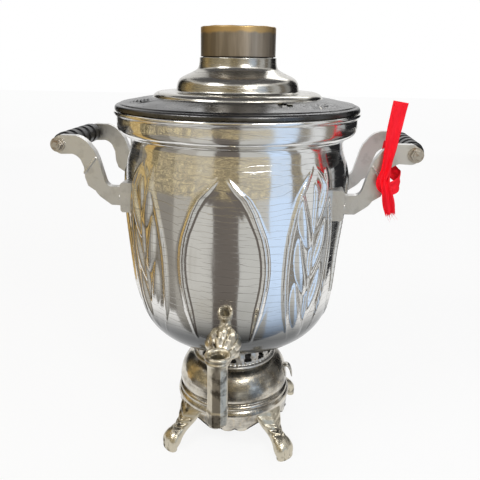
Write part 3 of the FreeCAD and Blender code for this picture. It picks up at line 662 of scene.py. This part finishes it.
def gallery_keep(a, r, z):
    """Everything but the windows, which are waisted and narrow a little upwards."""
    phase = np.abs(wrapped((a - WINDOW_TURN) * WINDOWS) / WINDOWS) * GALLERY_RADIUS
    notch = 0.9 * bump_at(z - 102.2, 1.1)
    half = WINDOW_HALF - notch - 0.4 * np.clip((z - 103.0) / 3.0, -1, 1)
    return ~((phase < half) & (z > WINDOW_FOOT) & (z < WINDOW_HEAD))


gallery = turned("gallery_band", curve_profile(GALLERY[::-1], 60, 1), 420,
                 gallery_shift, gallery_keep)
place(gallery, GALLERY_NICKEL, ["neck_gallery"])
thicken(gallery, 1.4, inner=SOOT)
soot = turned("gallery_soot", resample([(42.2, 91.0), (42.2, 114.6)], 30), 320, None, gallery_keep)
place(soot, SOOT)

# Base bell with its beads and scalloped skirt

BELL = [(44.6, 89.9), (47.5, 88.7), (51.8, 85.8), (55.4, 81.6), (58.2, 76.6), (60.2, 70.6),
        (61.2, 64.8), (61.3, 60.0), (60.6, 57.6), (59.4, 56.4), (59.4, 55.2), (61.2, 54.2),
        (62.3, 52.4), (62.0, 50.6), (61.2, 49.6), (62.0, 48.6), (63.3, 47.0), (64.0, 44.6),
        (63.9, 42.4), (63.2, 40.6), (62.7, 38.0), (62.3, 34.0), (61.9, 30.0), (61.5, 25.2)]
SKIRT_RADIUS = 61.0
LOBE_WIDTH = 16.0


def bell_shift(a, r, z):
    """Lower edge cut in lobes between the feet."""
    quarter = wrapped(4 * a) / 4
    u = np.abs(quarter) * SKIRT_RADIUS
    edge = 25.0 + 3.2 * (1.0 - np.abs(np.cos(np.pi * u / LOBE_WIDTH)) ** 0.7)
    edge = np.where(u > 24.0, 28.2 + (u - 24.0) * 0.55, edge)
    low = np.clip((38.0 - z) / 12.8, 0, 1)
    return r, z * (1 - low) + low * np.maximum(edge, z)


bell = turned("bell_skin", curve_profile(BELL, 110, 1), 300, bell_shift)
place(bell, BASE_NICKEL, ["base_bell"])
thicken(bell, 1.2, inner=SOOT)

# Feet: a curved leg out of the skirt, ending in a paw with three toes

# Reach from the axis, height, half width and half depth
LEG = [(56.5, 49.0, 17.0, 1.6), (59.5, 43.5, 17.4, 3.2), (62.4, 37.0, 16.2, 4.6),
       (66.0, 30.0, 13.0, 5.5), (70.2, 24.4, 9.8, 5.7), (74.6, 20.0, 8.2, 6.1),
       (79.0, 16.8, 8.8, 6.8), (83.4, 13.8, 10.4, 8.0), (86.8, 9.8, 11.4, 8.2),
       (88.4, 6.0, 11.0, 6.6), (88.8, 3.4, 10.2, 5.6), (88.9, 1.6, 10.4, 5.6),
       (88.9, 0.0, 10.0, 5.2)]


def foot(name, angle, node):
    """Leg swept along a bow out of the skirt: flattened ovals square to the bow.

    Toes are cut by grooves near the end, and the upper part has a ridge and slanting veins."""
    path = np.array(LEG)
    s = np.linspace(0, len(path) - 1, 74)
    rows = np.stack([np.interp(s, np.arange(len(path)), path[:, k]) for k in range(4)], 1)
    kernel = np.array([1, 3, 6, 7, 6, 3, 1], float)
    kernel /= kernel.sum()
    for k in range(4):
        padded = np.pad(rows[:, k], 3, mode="edge")
        rows[:, k] = np.convolve(padded, kernel, mode="valid")
    run = np.gradient(rows[:, 0])
    rise = np.gradient(rows[:, 1])
    length = np.hypot(run, rise)
    out_x, out_z = -rise / length, run / length
    v = np.linspace(0, 2 * np.pi, 72, endpoint=False)
    side = squared(np.cos(v), 0.85)
    face = squared(np.sin(v), 0.85)
    t = np.linspace(0, 1, len(rows))[:, None]
    toes = np.clip((t - 0.66) / 0.12, 0, 1) * np.clip((1.0 - t) / 0.05, 0, 1)
    groove = (bump_at(side - 0.34, 0.10) + bump_at(side + 0.34, 0.10)) * toes * (face > 0)
    leaf = bump_at(side, 0.16) * np.clip((0.6 - t) / 0.1, 0, 1) * (face > 0)
    vein = 0.10 * np.sin(t * 60 + np.abs(side) * 5) * np.clip((0.55 - t) / 0.1, 0, 1) * (face > 0)
    half = rows[:, 2:3] * side
    deep = rows[:, 3:4] * face * (1.0 - 0.42 * groove + 0.16 * leaf + vein)
    reach = rows[:, 0:1] + out_x[:, None] * deep
    height = np.maximum(rows[:, 1:2] + out_z[:, None] * deep, 0.0)
    spin = math.radians(angle)
    x = reach * math.sin(spin) + half * math.cos(spin)
    y = -reach * math.cos(spin) + half * math.sin(spin)
    points = np.stack([x, y, height], -1).reshape(-1, 3) * MM
    faces = [list(q) for q in grid_faces(len(rows), len(v))]
    faces.append(list(range(len(v) - 1, -1, -1)))
    faces.append([(len(rows) - 1) * len(v) + k for k in range(len(v))])
    piece = face_out(make_object(name, points, faces))
    place(piece, FOOT_METAL, [node])
    return piece


foot("paw_right_front", 45, "foot_right_front")
foot("paw_left_front", -45, "foot_left_front")
foot("paw_right_rear", 135, "foot_right_rear")
foot("paw_left_rear", -135, "foot_left_rear")

# Tap rosette: two whorls of pointed leaves round the tap

TAP_REACH = 140.0
TAP_LEVEL = 150.0


def whorl(name, petals, rings, tip, phase):
    """Pointed leaves round the tap's neck, with creases between them.

    rings are reach from the upright axis and radius; tip draws the leaf ends out."""
    rows = resample(rings, 46)
    a = np.linspace(0, 2 * np.pi, 220, endpoint=False)
    lobes = np.abs(np.cos((a * petals + phase) / 2))[None, :]
    t = np.linspace(0, 1, len(rows))[:, None]
    grow = 1.0 + 0.10 * (lobes - 0.6) * np.clip(t * 3, 0, 1)
    crease = 0.5 * bump_at(lobes - 1.0, 0.012) - 2.6 * bump_at(lobes, 0.16)
    radius = rows[:, 1:2] * grow + crease * np.clip((1 - t) * 6, 0, 1)
    reach = rows[:, 0:1] + tip * (lobes ** 0.7) * t ** 2
    x = radius * np.sin(a)
    z = TAP_LEVEL + radius * np.cos(a)
    y = -reach + 0 * x
    points = np.stack([x, y, z], -1).reshape(-1, 3) * MM
    return make_object(name, points, grid_faces(len(rows), len(a)))


OUTER = [(96.0, 15.0), (100.0, 16.6), (104.0, 17.0), (108.4, 16.0), (112.0, 13.4), (114.6, 9.8)]
INNER = [(110.0, 13.0), (113.6, 13.2), (117.0, 11.6), (119.6, 9.2), (121.0, 7.0)]
outer = whorl("rosette_outer", 9, OUTER, 1.6, 0.0)
place(outer, TAP_METAL, ["tap_rosette"])
inner = whorl("rosette_inner", 7, INNER, 0.8, 1.4)
place(inner, TAP_METAL)

# Red ribbon: one strip tied round the right front strap

RIBBON_WIDTH = 14.0
PLEAT = 7.0
# x, y, z, way across (x, y, z), share of the width that lies flat
RIBBON = [
    (155.6, -60.5, 381.5, 1.0, 0.05, 0.10, 1.00),
    (153.4, -60.0, 368.0, 1.0, 0.10, -0.10, 0.99),
    (151.0, -60.0, 352.0, 1.0, 0.05, -0.15, 0.92),
    (149.4, -60.4, 338.0, 1.0, -0.05, -0.15, 0.78),
    (147.6, -61.0, 326.0, 1.0, -0.05, -0.10, 0.62),
    (145.8, -62.6, 316.0, 1.0, -0.05, 0.05, 0.58),
    (142.6, -63.6, 308.6, 0.85, 0.05, 0.50, 0.66),
    (143.4, -64.2, 302.6, 0.50, 0.05, 0.85, 0.72),
    (149.6, -64.2, 300.6, 0.10, 0.05, 1.0, 0.85),
    (156.6, -61.8, 302.6, 0.0, 0.10, 1.0, 0.98),
    (161.4, -55.5, 306.4, 0.0, 0.0, 1.0, 1.00),
    (161.8, -48.0, 309.4, 0.0, 0.0, 1.0, 0.95),
    (156.4, -42.6, 312.5, 0.3, 0.0, 0.9, 0.85),
    (151.4, -41.4, 320.0, 0.9, 0.0, 0.4, 0.80),
    (150.0, -41.6, 332.0, 1.0, 0.0, 0.0, 0.80),
    (150.4, -44.6, 342.5, 1.0, 0.0, 0.0, 0.80),
    (150.5, -51.0, 345.6, 1.0, 0.0, 0.0, 0.80),
    (150.2, -57.0, 341.4, 1.0, 0.0, 0.0, 0.72),
    (149.0, -58.0, 330.0, 1.0, 0.0, 0.0, 0.62),
    (147.4, -59.6, 318.0, 1.0, 0.0, 0.0, 0.58),
    (146.4, -63.0, 309.5, 1.0, 0.0, 0.0, 0.58),
    (146.8, -67.6, 303.5, 1.0, 0.0, 0.05, 0.62),
    (148.4, -68.4, 297.0, 1.0, 0.0, 0.15, 0.70),
    (151.0, -65.0, 286.5, 1.0, 0.05, 0.20, 0.84),
    (153.8, -61.5, 275.6, 1.0, 0.10, 0.25, 0.66),
]


def smooth_path(rows, count, passes=3):
    """Corner cutting of a path whose rows hold any number of values, then even steps."""
    p = np.array(rows, float)
    for _ in range(passes):
        cut = np.empty((2 * (len(p) - 1), p.shape[1]))
        cut[0::2] = 0.75 * p[:-1] + 0.25 * p[1:]
        cut[1::2] = 0.25 * p[:-1] + 0.75 * p[1:]
        p = np.vstack([p[:1], cut, p[-1:]])
    steps = np.linalg.norm(np.diff(p[:, :3], axis=0), axis=1)
    along = np.concatenate([[0.0], np.cumsum(steps)])
    s = np.linspace(0, along[-1], count)
    return np.stack([np.interp(s, along, p[:, k]) for k in range(p.shape[1])], 1), along[-1]


def ribbon_strip():
    """The strip's points: it lies in lengthwise folds where it is drawn tight.

    Across the strip the flat share is laid along its width and the rest into pleats."""
    rows, length = smooth_path(RIBBON, 300)
    q = np.linspace(-1, 1, 25) * RIBBON_WIDTH / 2
    heading = np.gradient(rows[:, :3], axis=0)
    heading /= np.linalg.norm(heading, axis=1)[:, None]
    across = rows[:, 3:6] - (rows[:, 3:6] * heading).sum(1)[:, None] * heading
    across /= np.linalg.norm(across, axis=1)[:, None]
    face = np.cross(heading, across)
    flat = rows[:, 6:7]
    slope = np.sqrt(np.clip(1 - flat ** 2, 0, 1))
    saw = np.abs((q / PLEAT + 0.25) % 1.0 - 0.5) * PLEAT
    saw = saw - saw.mean()
    t = np.linspace(0, 1, len(rows))[:, None]
    ripple = 0.25 * np.sin(t * 60 + q * 0.35)
    depth = slope * saw[None, :] * 0.9 + ripple
    end = np.clip((t - 0.97) / 0.03, 0, 1)
    fray = end * (1.2 * np.sin(q * 2.9) + 0.8 * np.sin(q * 7.1 + 1))[None, :]
    points = (rows[:, None, :3] + across[:, None, :] * (flat * q[None, :])[:, :, None]
              + face[:, None, :] * depth[:, :, None] + heading[:, None, :] * fray[:, :, None])
    return points, length, rows, heading, across


strip, ribbon_length, route, heading, across = ribbon_strip()
ribbon = make_object("ribbon_strip", strip.reshape(-1, 3) * MM,
                     grid_faces(len(strip), strip.shape[1], False))
thicken(ribbon, 0.25, 0.0)
place(ribbon, RED, ["red_ribbon"])

THREADS = 11
THREAD_RINGS = 7
THREAD_SIDES = 4
THREAD_RADIUS = 0.14


def frayed_threads(start, heading, across):
    """Bent, tapering threads at the ribbon's end."""
    points = []
    faces = []
    for n in range(THREADS):
        side = (n / (THREADS - 1) - 0.5) * RIBBON_WIDTH * 0.62
        root = start + across * side
        bend = np.array([math.sin(n * 2.3), 0.4 * math.cos(n * 1.7), 0.6 * math.sin(n * 4.1)])
        reach = 3.0 + 3.4 * abs(math.sin(n * 1.9))
        for k in range(THREAD_RINGS):
            s = k / (THREAD_RINGS - 1)
            spot = root + heading * reach * s + bend * s ** 2 * 3.2
            thin = THREAD_RADIUS * (1 - 0.5 * s)
            for c in range(THREAD_SIDES):
                turn = c * 2 * math.pi / THREAD_SIDES
                points.append((spot + np.array([math.cos(turn), math.sin(turn), 0]) * thin) * MM)
        first = n * THREAD_RINGS * THREAD_SIDES
        faces.extend(first + grid_faces(THREAD_RINGS, THREAD_SIDES)[:, [0, 3, 2, 1]])
    return face_out(make_object("ribbon_threads", points, faces))


threads = frayed_threads(route[-2, :3], heading[-1], across[-1])
place(threads, RED)
ribbon_length * MM

# Tap: neck, beaded barrel and eight-sided spout, with its hollow plug


def column(name, rows, columns=160):
    """Upright form at the tap: rows are radius, height and how eight-sided it is.

    The radius is divided by the cosine of the angle to the nearest flat's middle."""
    rows = np.array(rows, float)
    steps = np.hypot(np.diff(rows[:, 0]), np.diff(rows[:, 1])) + 1e-6
    along = np.concatenate([[0.0], np.cumsum(steps)])
    s = np.linspace(0, along[-1], 150)
    r, z, flat = (np.interp(s, along, rows[:, k])[:, None] for k in range(3))
    a = np.linspace(0, 2 * np.pi, columns, endpoint=False)[None, :]
    corner = 1.0 / np.cos((a + np.pi / 8) % (np.pi / 4) - np.pi / 8)
    radius = r * (1 + flat * (corner - 1))
    x = radius * np.sin(a)
    y = -TAP_REACH - radius * np.cos(a)
    points = np.stack([x, y, z + 0 * a], -1).reshape(-1, 3) * MM
    return make_object(name, points, grid_faces(len(s), columns))


SPOUT = [(7.75, 139.0, 0), (7.75, 157.6, 0), (8.6, 160.2, 0), (9.6, 161.0, 0), (11.2, 161.2, 0),
         (12.2, 160.4, 0), (12.4, 159.0, 0), (11.9, 157.6, 0), (11.0, 157.0, 0), (10.9, 156.2, 0),
         (11.7, 155.4, 0), (11.8, 154.4, 0), (11.0, 153.4, 0), (10.0, 151.6, 0),
         (9.4, 149.0, 0.3), (9.0, 146.0, 0.9), (8.8, 141.0, 1), (8.9, 128.0, 1), (9.1, 106.6, 1),
         (9.7, 105.6, 1), (9.9, 104.2, 1), (9.5, 103.0, 1), (9.3, 100.0, 1), (9.2, 93.4, 1),
         (8.9, 91.4, 1), (8.3, 90.8, 1), (5.6, 90.8, 0.3), (5.4, 91.6, 0), (5.4, 136.0, 0),
         (0.4, 137.4, 0)]
NECK_TUBE = [(112.0, 7.4), (121.0, 7.4), (122.0, 8.1), (123.4, 8.2), (124.4, 7.4), (127.0, 7.0),
             (130.6, 7.4), (134.0, 8.2)]
spout = column("tap_spout", SPOUT)
place(spout, TAP_METAL, ["tap_body"])
rows = resample(NECK_TUBE, 60)
a = np.linspace(0, 2 * np.pi, 120, endpoint=False)[None, :]
OVAL = 0.96
tube_points = np.stack([rows[:, 1:2] * np.sin(a), -rows[:, 0:1] + 0 * a,
                        TAP_LEVEL + rows[:, 1:2] * OVAL * np.cos(a)], -1)
neck_tube = make_object("tap_neck", tube_points.reshape(-1, 3) * MM, grid_faces(len(rows), a.size))
place(neck_tube, TAP_METAL)
PLUG = [(0.3, 142.0, 0), (6.6, 142.4, 0), (6.8, 144.0, 0), (6.9, 156.6, 0), (7.1, 157.0, 0),
        (7.55, 156.9, 0), (7.6, 156.0, 0), (7.6, 140.6, 0), (7.2, 140.0, 0), (0.3, 140.0, 0)]
plug = column("plug_cup", PLUG, 120)
place(plug, BRASS, ["tap_plug"], body="plug")

# Bent tab on the base, at the viewer's right

# Reach, height and thickness along the strip
TAB = [(55.6, 71.0, 4.6), (58.4, 74.6, 4.2), (61.4, 75.4, 3.8), (64.0, 73.6, 3.4),
       (65.8, 69.6, 2.8), (66.8, 65.0, 2.2), (67.3, 61.2, 1.2)]
TAB_ROWS = 40
TAB_SIDES = 28


def bent_tab():
    """Rounded bar bent outwards and down, closed at its free end."""
    rows = smooth_path([(x, 0, z, t) for x, z, t in TAB], TAB_ROWS, 2)[0]
    along = np.gradient(rows[:, [0, 2]], axis=0)
    along /= np.linalg.norm(along, axis=1)[:, None]
    a = np.linspace(0, 2 * np.pi, TAB_SIDES, endpoint=False)[None, :]
    thick = rows[:, 3:4] / 2 * squared(np.cos(a))
    wide = (4.4 - 0.05 * np.arange(TAB_ROWS)[:, None]) * squared(np.sin(a))
    points = np.stack([rows[:, 0:1] - along[:, 1:2] * thick, wide,
                       rows[:, 2:3] + along[:, 0:1] * thick], -1)
    faces = [list(q) for q in grid_faces(TAB_ROWS, TAB_SIDES)]
    faces.append([(TAB_ROWS - 1) * TAB_SIDES + k for k in range(TAB_SIDES)])
    return face_out(make_object("base_tab", points.reshape(-1, 3) * MM, faces))


tab = bent_tab()
place(tab, LID_BRIGHT, ["side_tab"])

# Slanting rib across each strap

# Reach and height of the rib's ends, and the direction square to it
RIB_LOW, RIB_HIGH = np.array([148.6, 303.0]), np.array([134.4, 321.0])
RIB_SQUARE = np.array([0.785, 0.619])
RIB_HALF, RIB_PROUD = 1.5, 1.1
RIB_ROWS, RIB_SIDES = 24, 20
STRAP_FACE = 54.3


def strap_rib(name, side, end):
    """Half-round ridge on the outer face of a strap, low end outwards, pointed at each end."""
    t = np.linspace(0, 1, RIB_ROWS)[:, None]
    spine = RIB_LOW + (RIB_HIGH - RIB_LOW) * t
    a = np.linspace(0, 2 * np.pi, RIB_SIDES, endpoint=False)[None, :]
    swell = np.clip(np.sin(t * np.pi) * 5, 0, 1)
    x = side * (spine[:, 0:1] + RIB_SQUARE[0] * RIB_HALF * np.cos(a) * swell)
    z = spine[:, 1:2] + RIB_SQUARE[1] * RIB_HALF * np.cos(a) * swell
    y = end * (STRAP_FACE + RIB_PROUD * np.sin(a) * swell)
    points = np.stack([x, y, z], -1).reshape(-1, 3) * MM
    rib = face_out(make_object(name, points, grid_faces(RIB_ROWS, RIB_SIDES)))
    place(rib, ALUMINIUM)


strap_rib("rib_right_front", 1, -1)
strap_rib("rib_right_rear", 1, 1)
strap_rib("rib_left_front", -1, -1)
strap_rib("rib_left_rear", -1, 1)

# Finishes of the pieces that keep their CAD shape

FINISHES = {
    "tap_gasket": RUBBER, "tap_lock_nut": BRASS,
    "grip_right": BLACK, "grip_left": BLACK,
    "handle_rods": STEEL, "rod_washers": STEEL, "rod_nuts": STEEL,
    "bracket_rivet_heads": ALUMINIUM, "fire_tube": IRON, "grate": IRON,
    "lid_ring": LID_BRIGHT, "strap_right_front": ALUMINIUM, "strap_right_rear": ALUMINIUM,
    "strap_left_front": ALUMINIUM, "strap_left_rear": ALUMINIUM,
}
for label, material in FINISHES.items():
    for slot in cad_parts[label].material_slots:
        slot.material = material

# Studio: floor, reflecting boards round the back of the camera, lamps


def glow(tint):
    """The material just begun gives its own light and reflects none."""
    return surface(colour(0, 0, 0), 1.0, 0.0, Specular_IOR_Level=0.0, Emission_Color=tint,
                   Emission_Strength=1.0)


CAMERA_TURN = math.radians(6.0)
VIEW_HALF = 0.44
CLEAR_SIDE = 0.33
CLEAR_AHEAD = 0.135
FAR = 9.0


def near_edge(turn):
    """Least distance from the axis at which the floor lies outside the camera's view."""
    side, ahead = abs(math.sin(turn)), math.cos(turn)
    spread = side + VIEW_HALF * ahead
    edge = CLEAR_SIDE / spread if spread > 0.15 else FAR
    if ahead > 0.3:
        edge = min(edge, CLEAR_AHEAD / ahead)
    return edge


BOARD_ROWS = 8
BOARD_LIFT = 0.003


def board(name, start, stop, wall, height, tint, speckle):
    """Sheet on the floor out to a wall, over an arc seen from the axis, darker close to the urn by
    a painted shadow.

    Angles in degrees from the camera's direction, positive to the viewer's right."""
    degrees = np.linspace(start, stop, max(3, int((stop - start) / 2)))
    points = []
    for k in range(BOARD_ROWS + 1):
        for d in degrees:
            near = near_edge(math.radians(d))
            level = k < BOARD_ROWS
            r = near + (wall - near) * k / (BOARD_ROWS - 1) if level else wall
            a = math.radians(d) + CAMERA_TURN
            points.append((r * math.sin(a), -r * math.cos(a), BOARD_LIFT if level else height))
    sheet = make_object(name, points, grid_faces(BOARD_ROWS + 1, len(degrees), False), False)
    vector, x, y, z = begin(name + "_glow")
    reach = Wire.maths("SQRT", x * x + y * y)
    cloud = noise(vector, 2.6, 3.0)
    # Painted shadow: the glow is dimmed close to the urn, where its shade would fall on the floor.
    painted_shadow_near = reach.step(0.12, 0.46) * 0.70 + 0.30
    tone = painted_shadow_near * (cloud * 0.5 + 0.75)
    base = blend(tone, colour(0.015, 0.016, 0.018), colour(*tint))
    if speckle:
        dots = noise(stretched(vector, 34.0, 34.0, 60.0), 1.0, 2.0).step(0.52, 0.6)
        high = z.step(0.04, 0.07)
        base = blend(high * dots * speckle, base, colour(1.35, 1.12, 0.62))
        base = blend(high * (1.0 - dots) * speckle * 0.6, base, colour(0.16, 0.12, 0.06))
    dress(sheet, glow(base))


# First and last angle, distance of the wall, its height, colour, share of speckle
BOARDS = [
    (-150, -128, 2.3, 1.6, (0.02, 0.02, 0.02), 0.0),
    (-128, -112, 1.3, 1.2, (0.10, 0.08, 0.05), 0.3),
    (-112, -94, 1.3, 1.2, (0.62, 0.42, 0.16), 0.6),
    (-94, -84, 1.3, 1.2, (0.12, 0.10, 0.07), 0.6),
    (-84, -62, 1.3, 1.2, (0.30, 0.28, 0.25), 0.8),
    (-62, -40, 1.3, 1.2, (0.50, 0.48, 0.44), 0.8),
    (-40, -22, 1.3, 1.2, (0.66, 0.65, 0.62), 0.8),
    (-22, 3, 1.3, 1.2, (0.17, 0.15, 0.135), 0.8),
    (3, 32, 1.3, 1.2, (0.62, 0.62, 0.60), 0.7),
    (32, 54, 1.3, 1.2, (0.74, 0.92, 1.20), 0.2),
    (54, 66, 1.3, 1.2, (0.26, 0.24, 0.21), 0.3),
    (66, 84, 1.3, 1.2, (0.80, 0.82, 0.84), 0.0),
    (84, 98, 1.3, 1.2, (0.24, 0.21, 0.17), 0.0),
    (98, 112, 1.3, 1.2, (0.46, 0.47, 0.48), 0.0),
    (112, 150, 2.3, 1.6, (0.02, 0.02, 0.022), 0.0),
]
for n, row in enumerate(BOARDS):
    board("board_%d" % n, *row)


def seen_rays():
    """1 for what the camera sees, also in metal and through glass, 0 for the light on things."""
    path = Wire.tree.nodes.new("ShaderNodeLightPath")
    names = ("Is Camera Ray", "Is Glossy Ray", "Is Transmission Ray")
    rays = [Wire(path.outputs[name]) for name in names]
    return Wire.maths("MINIMUM", rays[0] + rays[1] + rays[2], 1.0)


def mixed(share, first, second, out):
    """Mix of two shaders by share, led to an output."""
    node = Wire.tree.nodes.new("ShaderNodeMixShader")
    Wire.feed(node.inputs[0], share)
    Wire.feed(node.inputs[1], first)
    Wire.feed(node.inputs[2], second)
    Wire.feed(out.inputs[0], Wire(node.outputs[0]))


def square(name, half, height, corners):
    """Flat square about the axis; the order of its corners sets the side that it faces."""
    around = [(-half, -half, height), (half, -half, height),
              (half, half, height), (-half, half, height)]
    return make_object(name, around, [corners], False)


WHITE_SHARE = 0.88
floor = square("floor", 6.0, 0.0, [0, 1, 2, 3])
begin("floor_white")
dress(floor, surface(colour(0.93, 0.93, 0.93), 0.9, 0.0))
floor_out = next(node for node in Wire.tree.nodes if node.type == "OUTPUT_MATERIAL")
floor_white = Wire.node("ShaderNodeEmission", Color=colour(1, 1, 1))
mixed(seen_rays() * WHITE_SHARE, Wire(Wire.shader.outputs[0]), floor_white, floor_out)

ceiling = square("ceiling", 1.3, 1.6, [0, 3, 2, 1])
begin("ceiling_glow")
dress(ceiling, glow(colour(0.16, 0.16, 0.17)))


def lamp(name, spot, aim, size, watts):
    """Soft lamp of white light: a rectangle turned to what it is aimed at."""
    data = bpy.data.lights.new(name, "AREA")
    data.shape = "RECTANGLE"
    data.size, data.size_y = size
    data.energy = watts
    light = bpy.data.objects.new(name, data)
    bpy.context.scene.collection.objects.link(light)
    light.location = spot
    light.rotation_euler = (Vector(aim) - Vector(spot)).to_track_quat("-Z", "Y").to_euler()


lamp("key", (-0.9, -1.0, 1.4), (0, 0, 0.25), (0.7, 0.5), 12.0)
lamp("window", (0.55, -1.0, 0.95), (0, 0, 0.1), (0.30, 0.22), 5.0)
lamp("fill", (1.1, -0.8, 1.2), (0, 0, 0.2), (0.8, 0.8), 5.0)
lamp("rear", (0.2, 1.3, 1.5), (0, 0, 0.3), (1.2, 0.6), 6.0)

world = bpy.data.worlds.new("studio")
bpy.context.scene.world = world
world.use_nodes = True
WORLD_LIGHT = 0.8
Wire.tree = world.node_tree
Wire.tree.nodes.clear()
dim = Wire.node("ShaderNodeBackground", Color=colour(1, 1, 1), Strength=WORLD_LIGHT)
white = Wire.node("ShaderNodeBackground", Color=colour(1, 1, 1), Strength=1.0)
mixed(seen_rays(), dim, white, Wire.tree.nodes.new("ShaderNodeOutputWorld"))

# Camera

PITCH = math.radians(14.0)
ROLL = math.radians(0.78)
REACH = 0.600
EYE = 0.419
camera_data = bpy.data.cameras.new("camera")
camera_data.sensor_width = 36.0
camera_data.lens = 42.75
camera_data.shift_x = 0.0078
camera_data.shift_y = -0.0853
camera = bpy.data.objects.new("camera", camera_data)
bpy.context.scene.collection.objects.link(camera)
turn = (Matrix.Rotation(CAMERA_TURN, 4, "Z") @ Matrix.Rotation(math.pi / 2 - PITCH, 4, "X")
        @ Matrix.Rotation(ROLL, 4, "Z"))
stand = Matrix.Translation((REACH * math.sin(CAMERA_TURN), -REACH * math.cos(CAMERA_TURN), EYE))
camera.matrix_world = stand @ turn
bpy.context.scene.camera = camera

bpy.context.scene.view_settings.view_transform = "Standard"
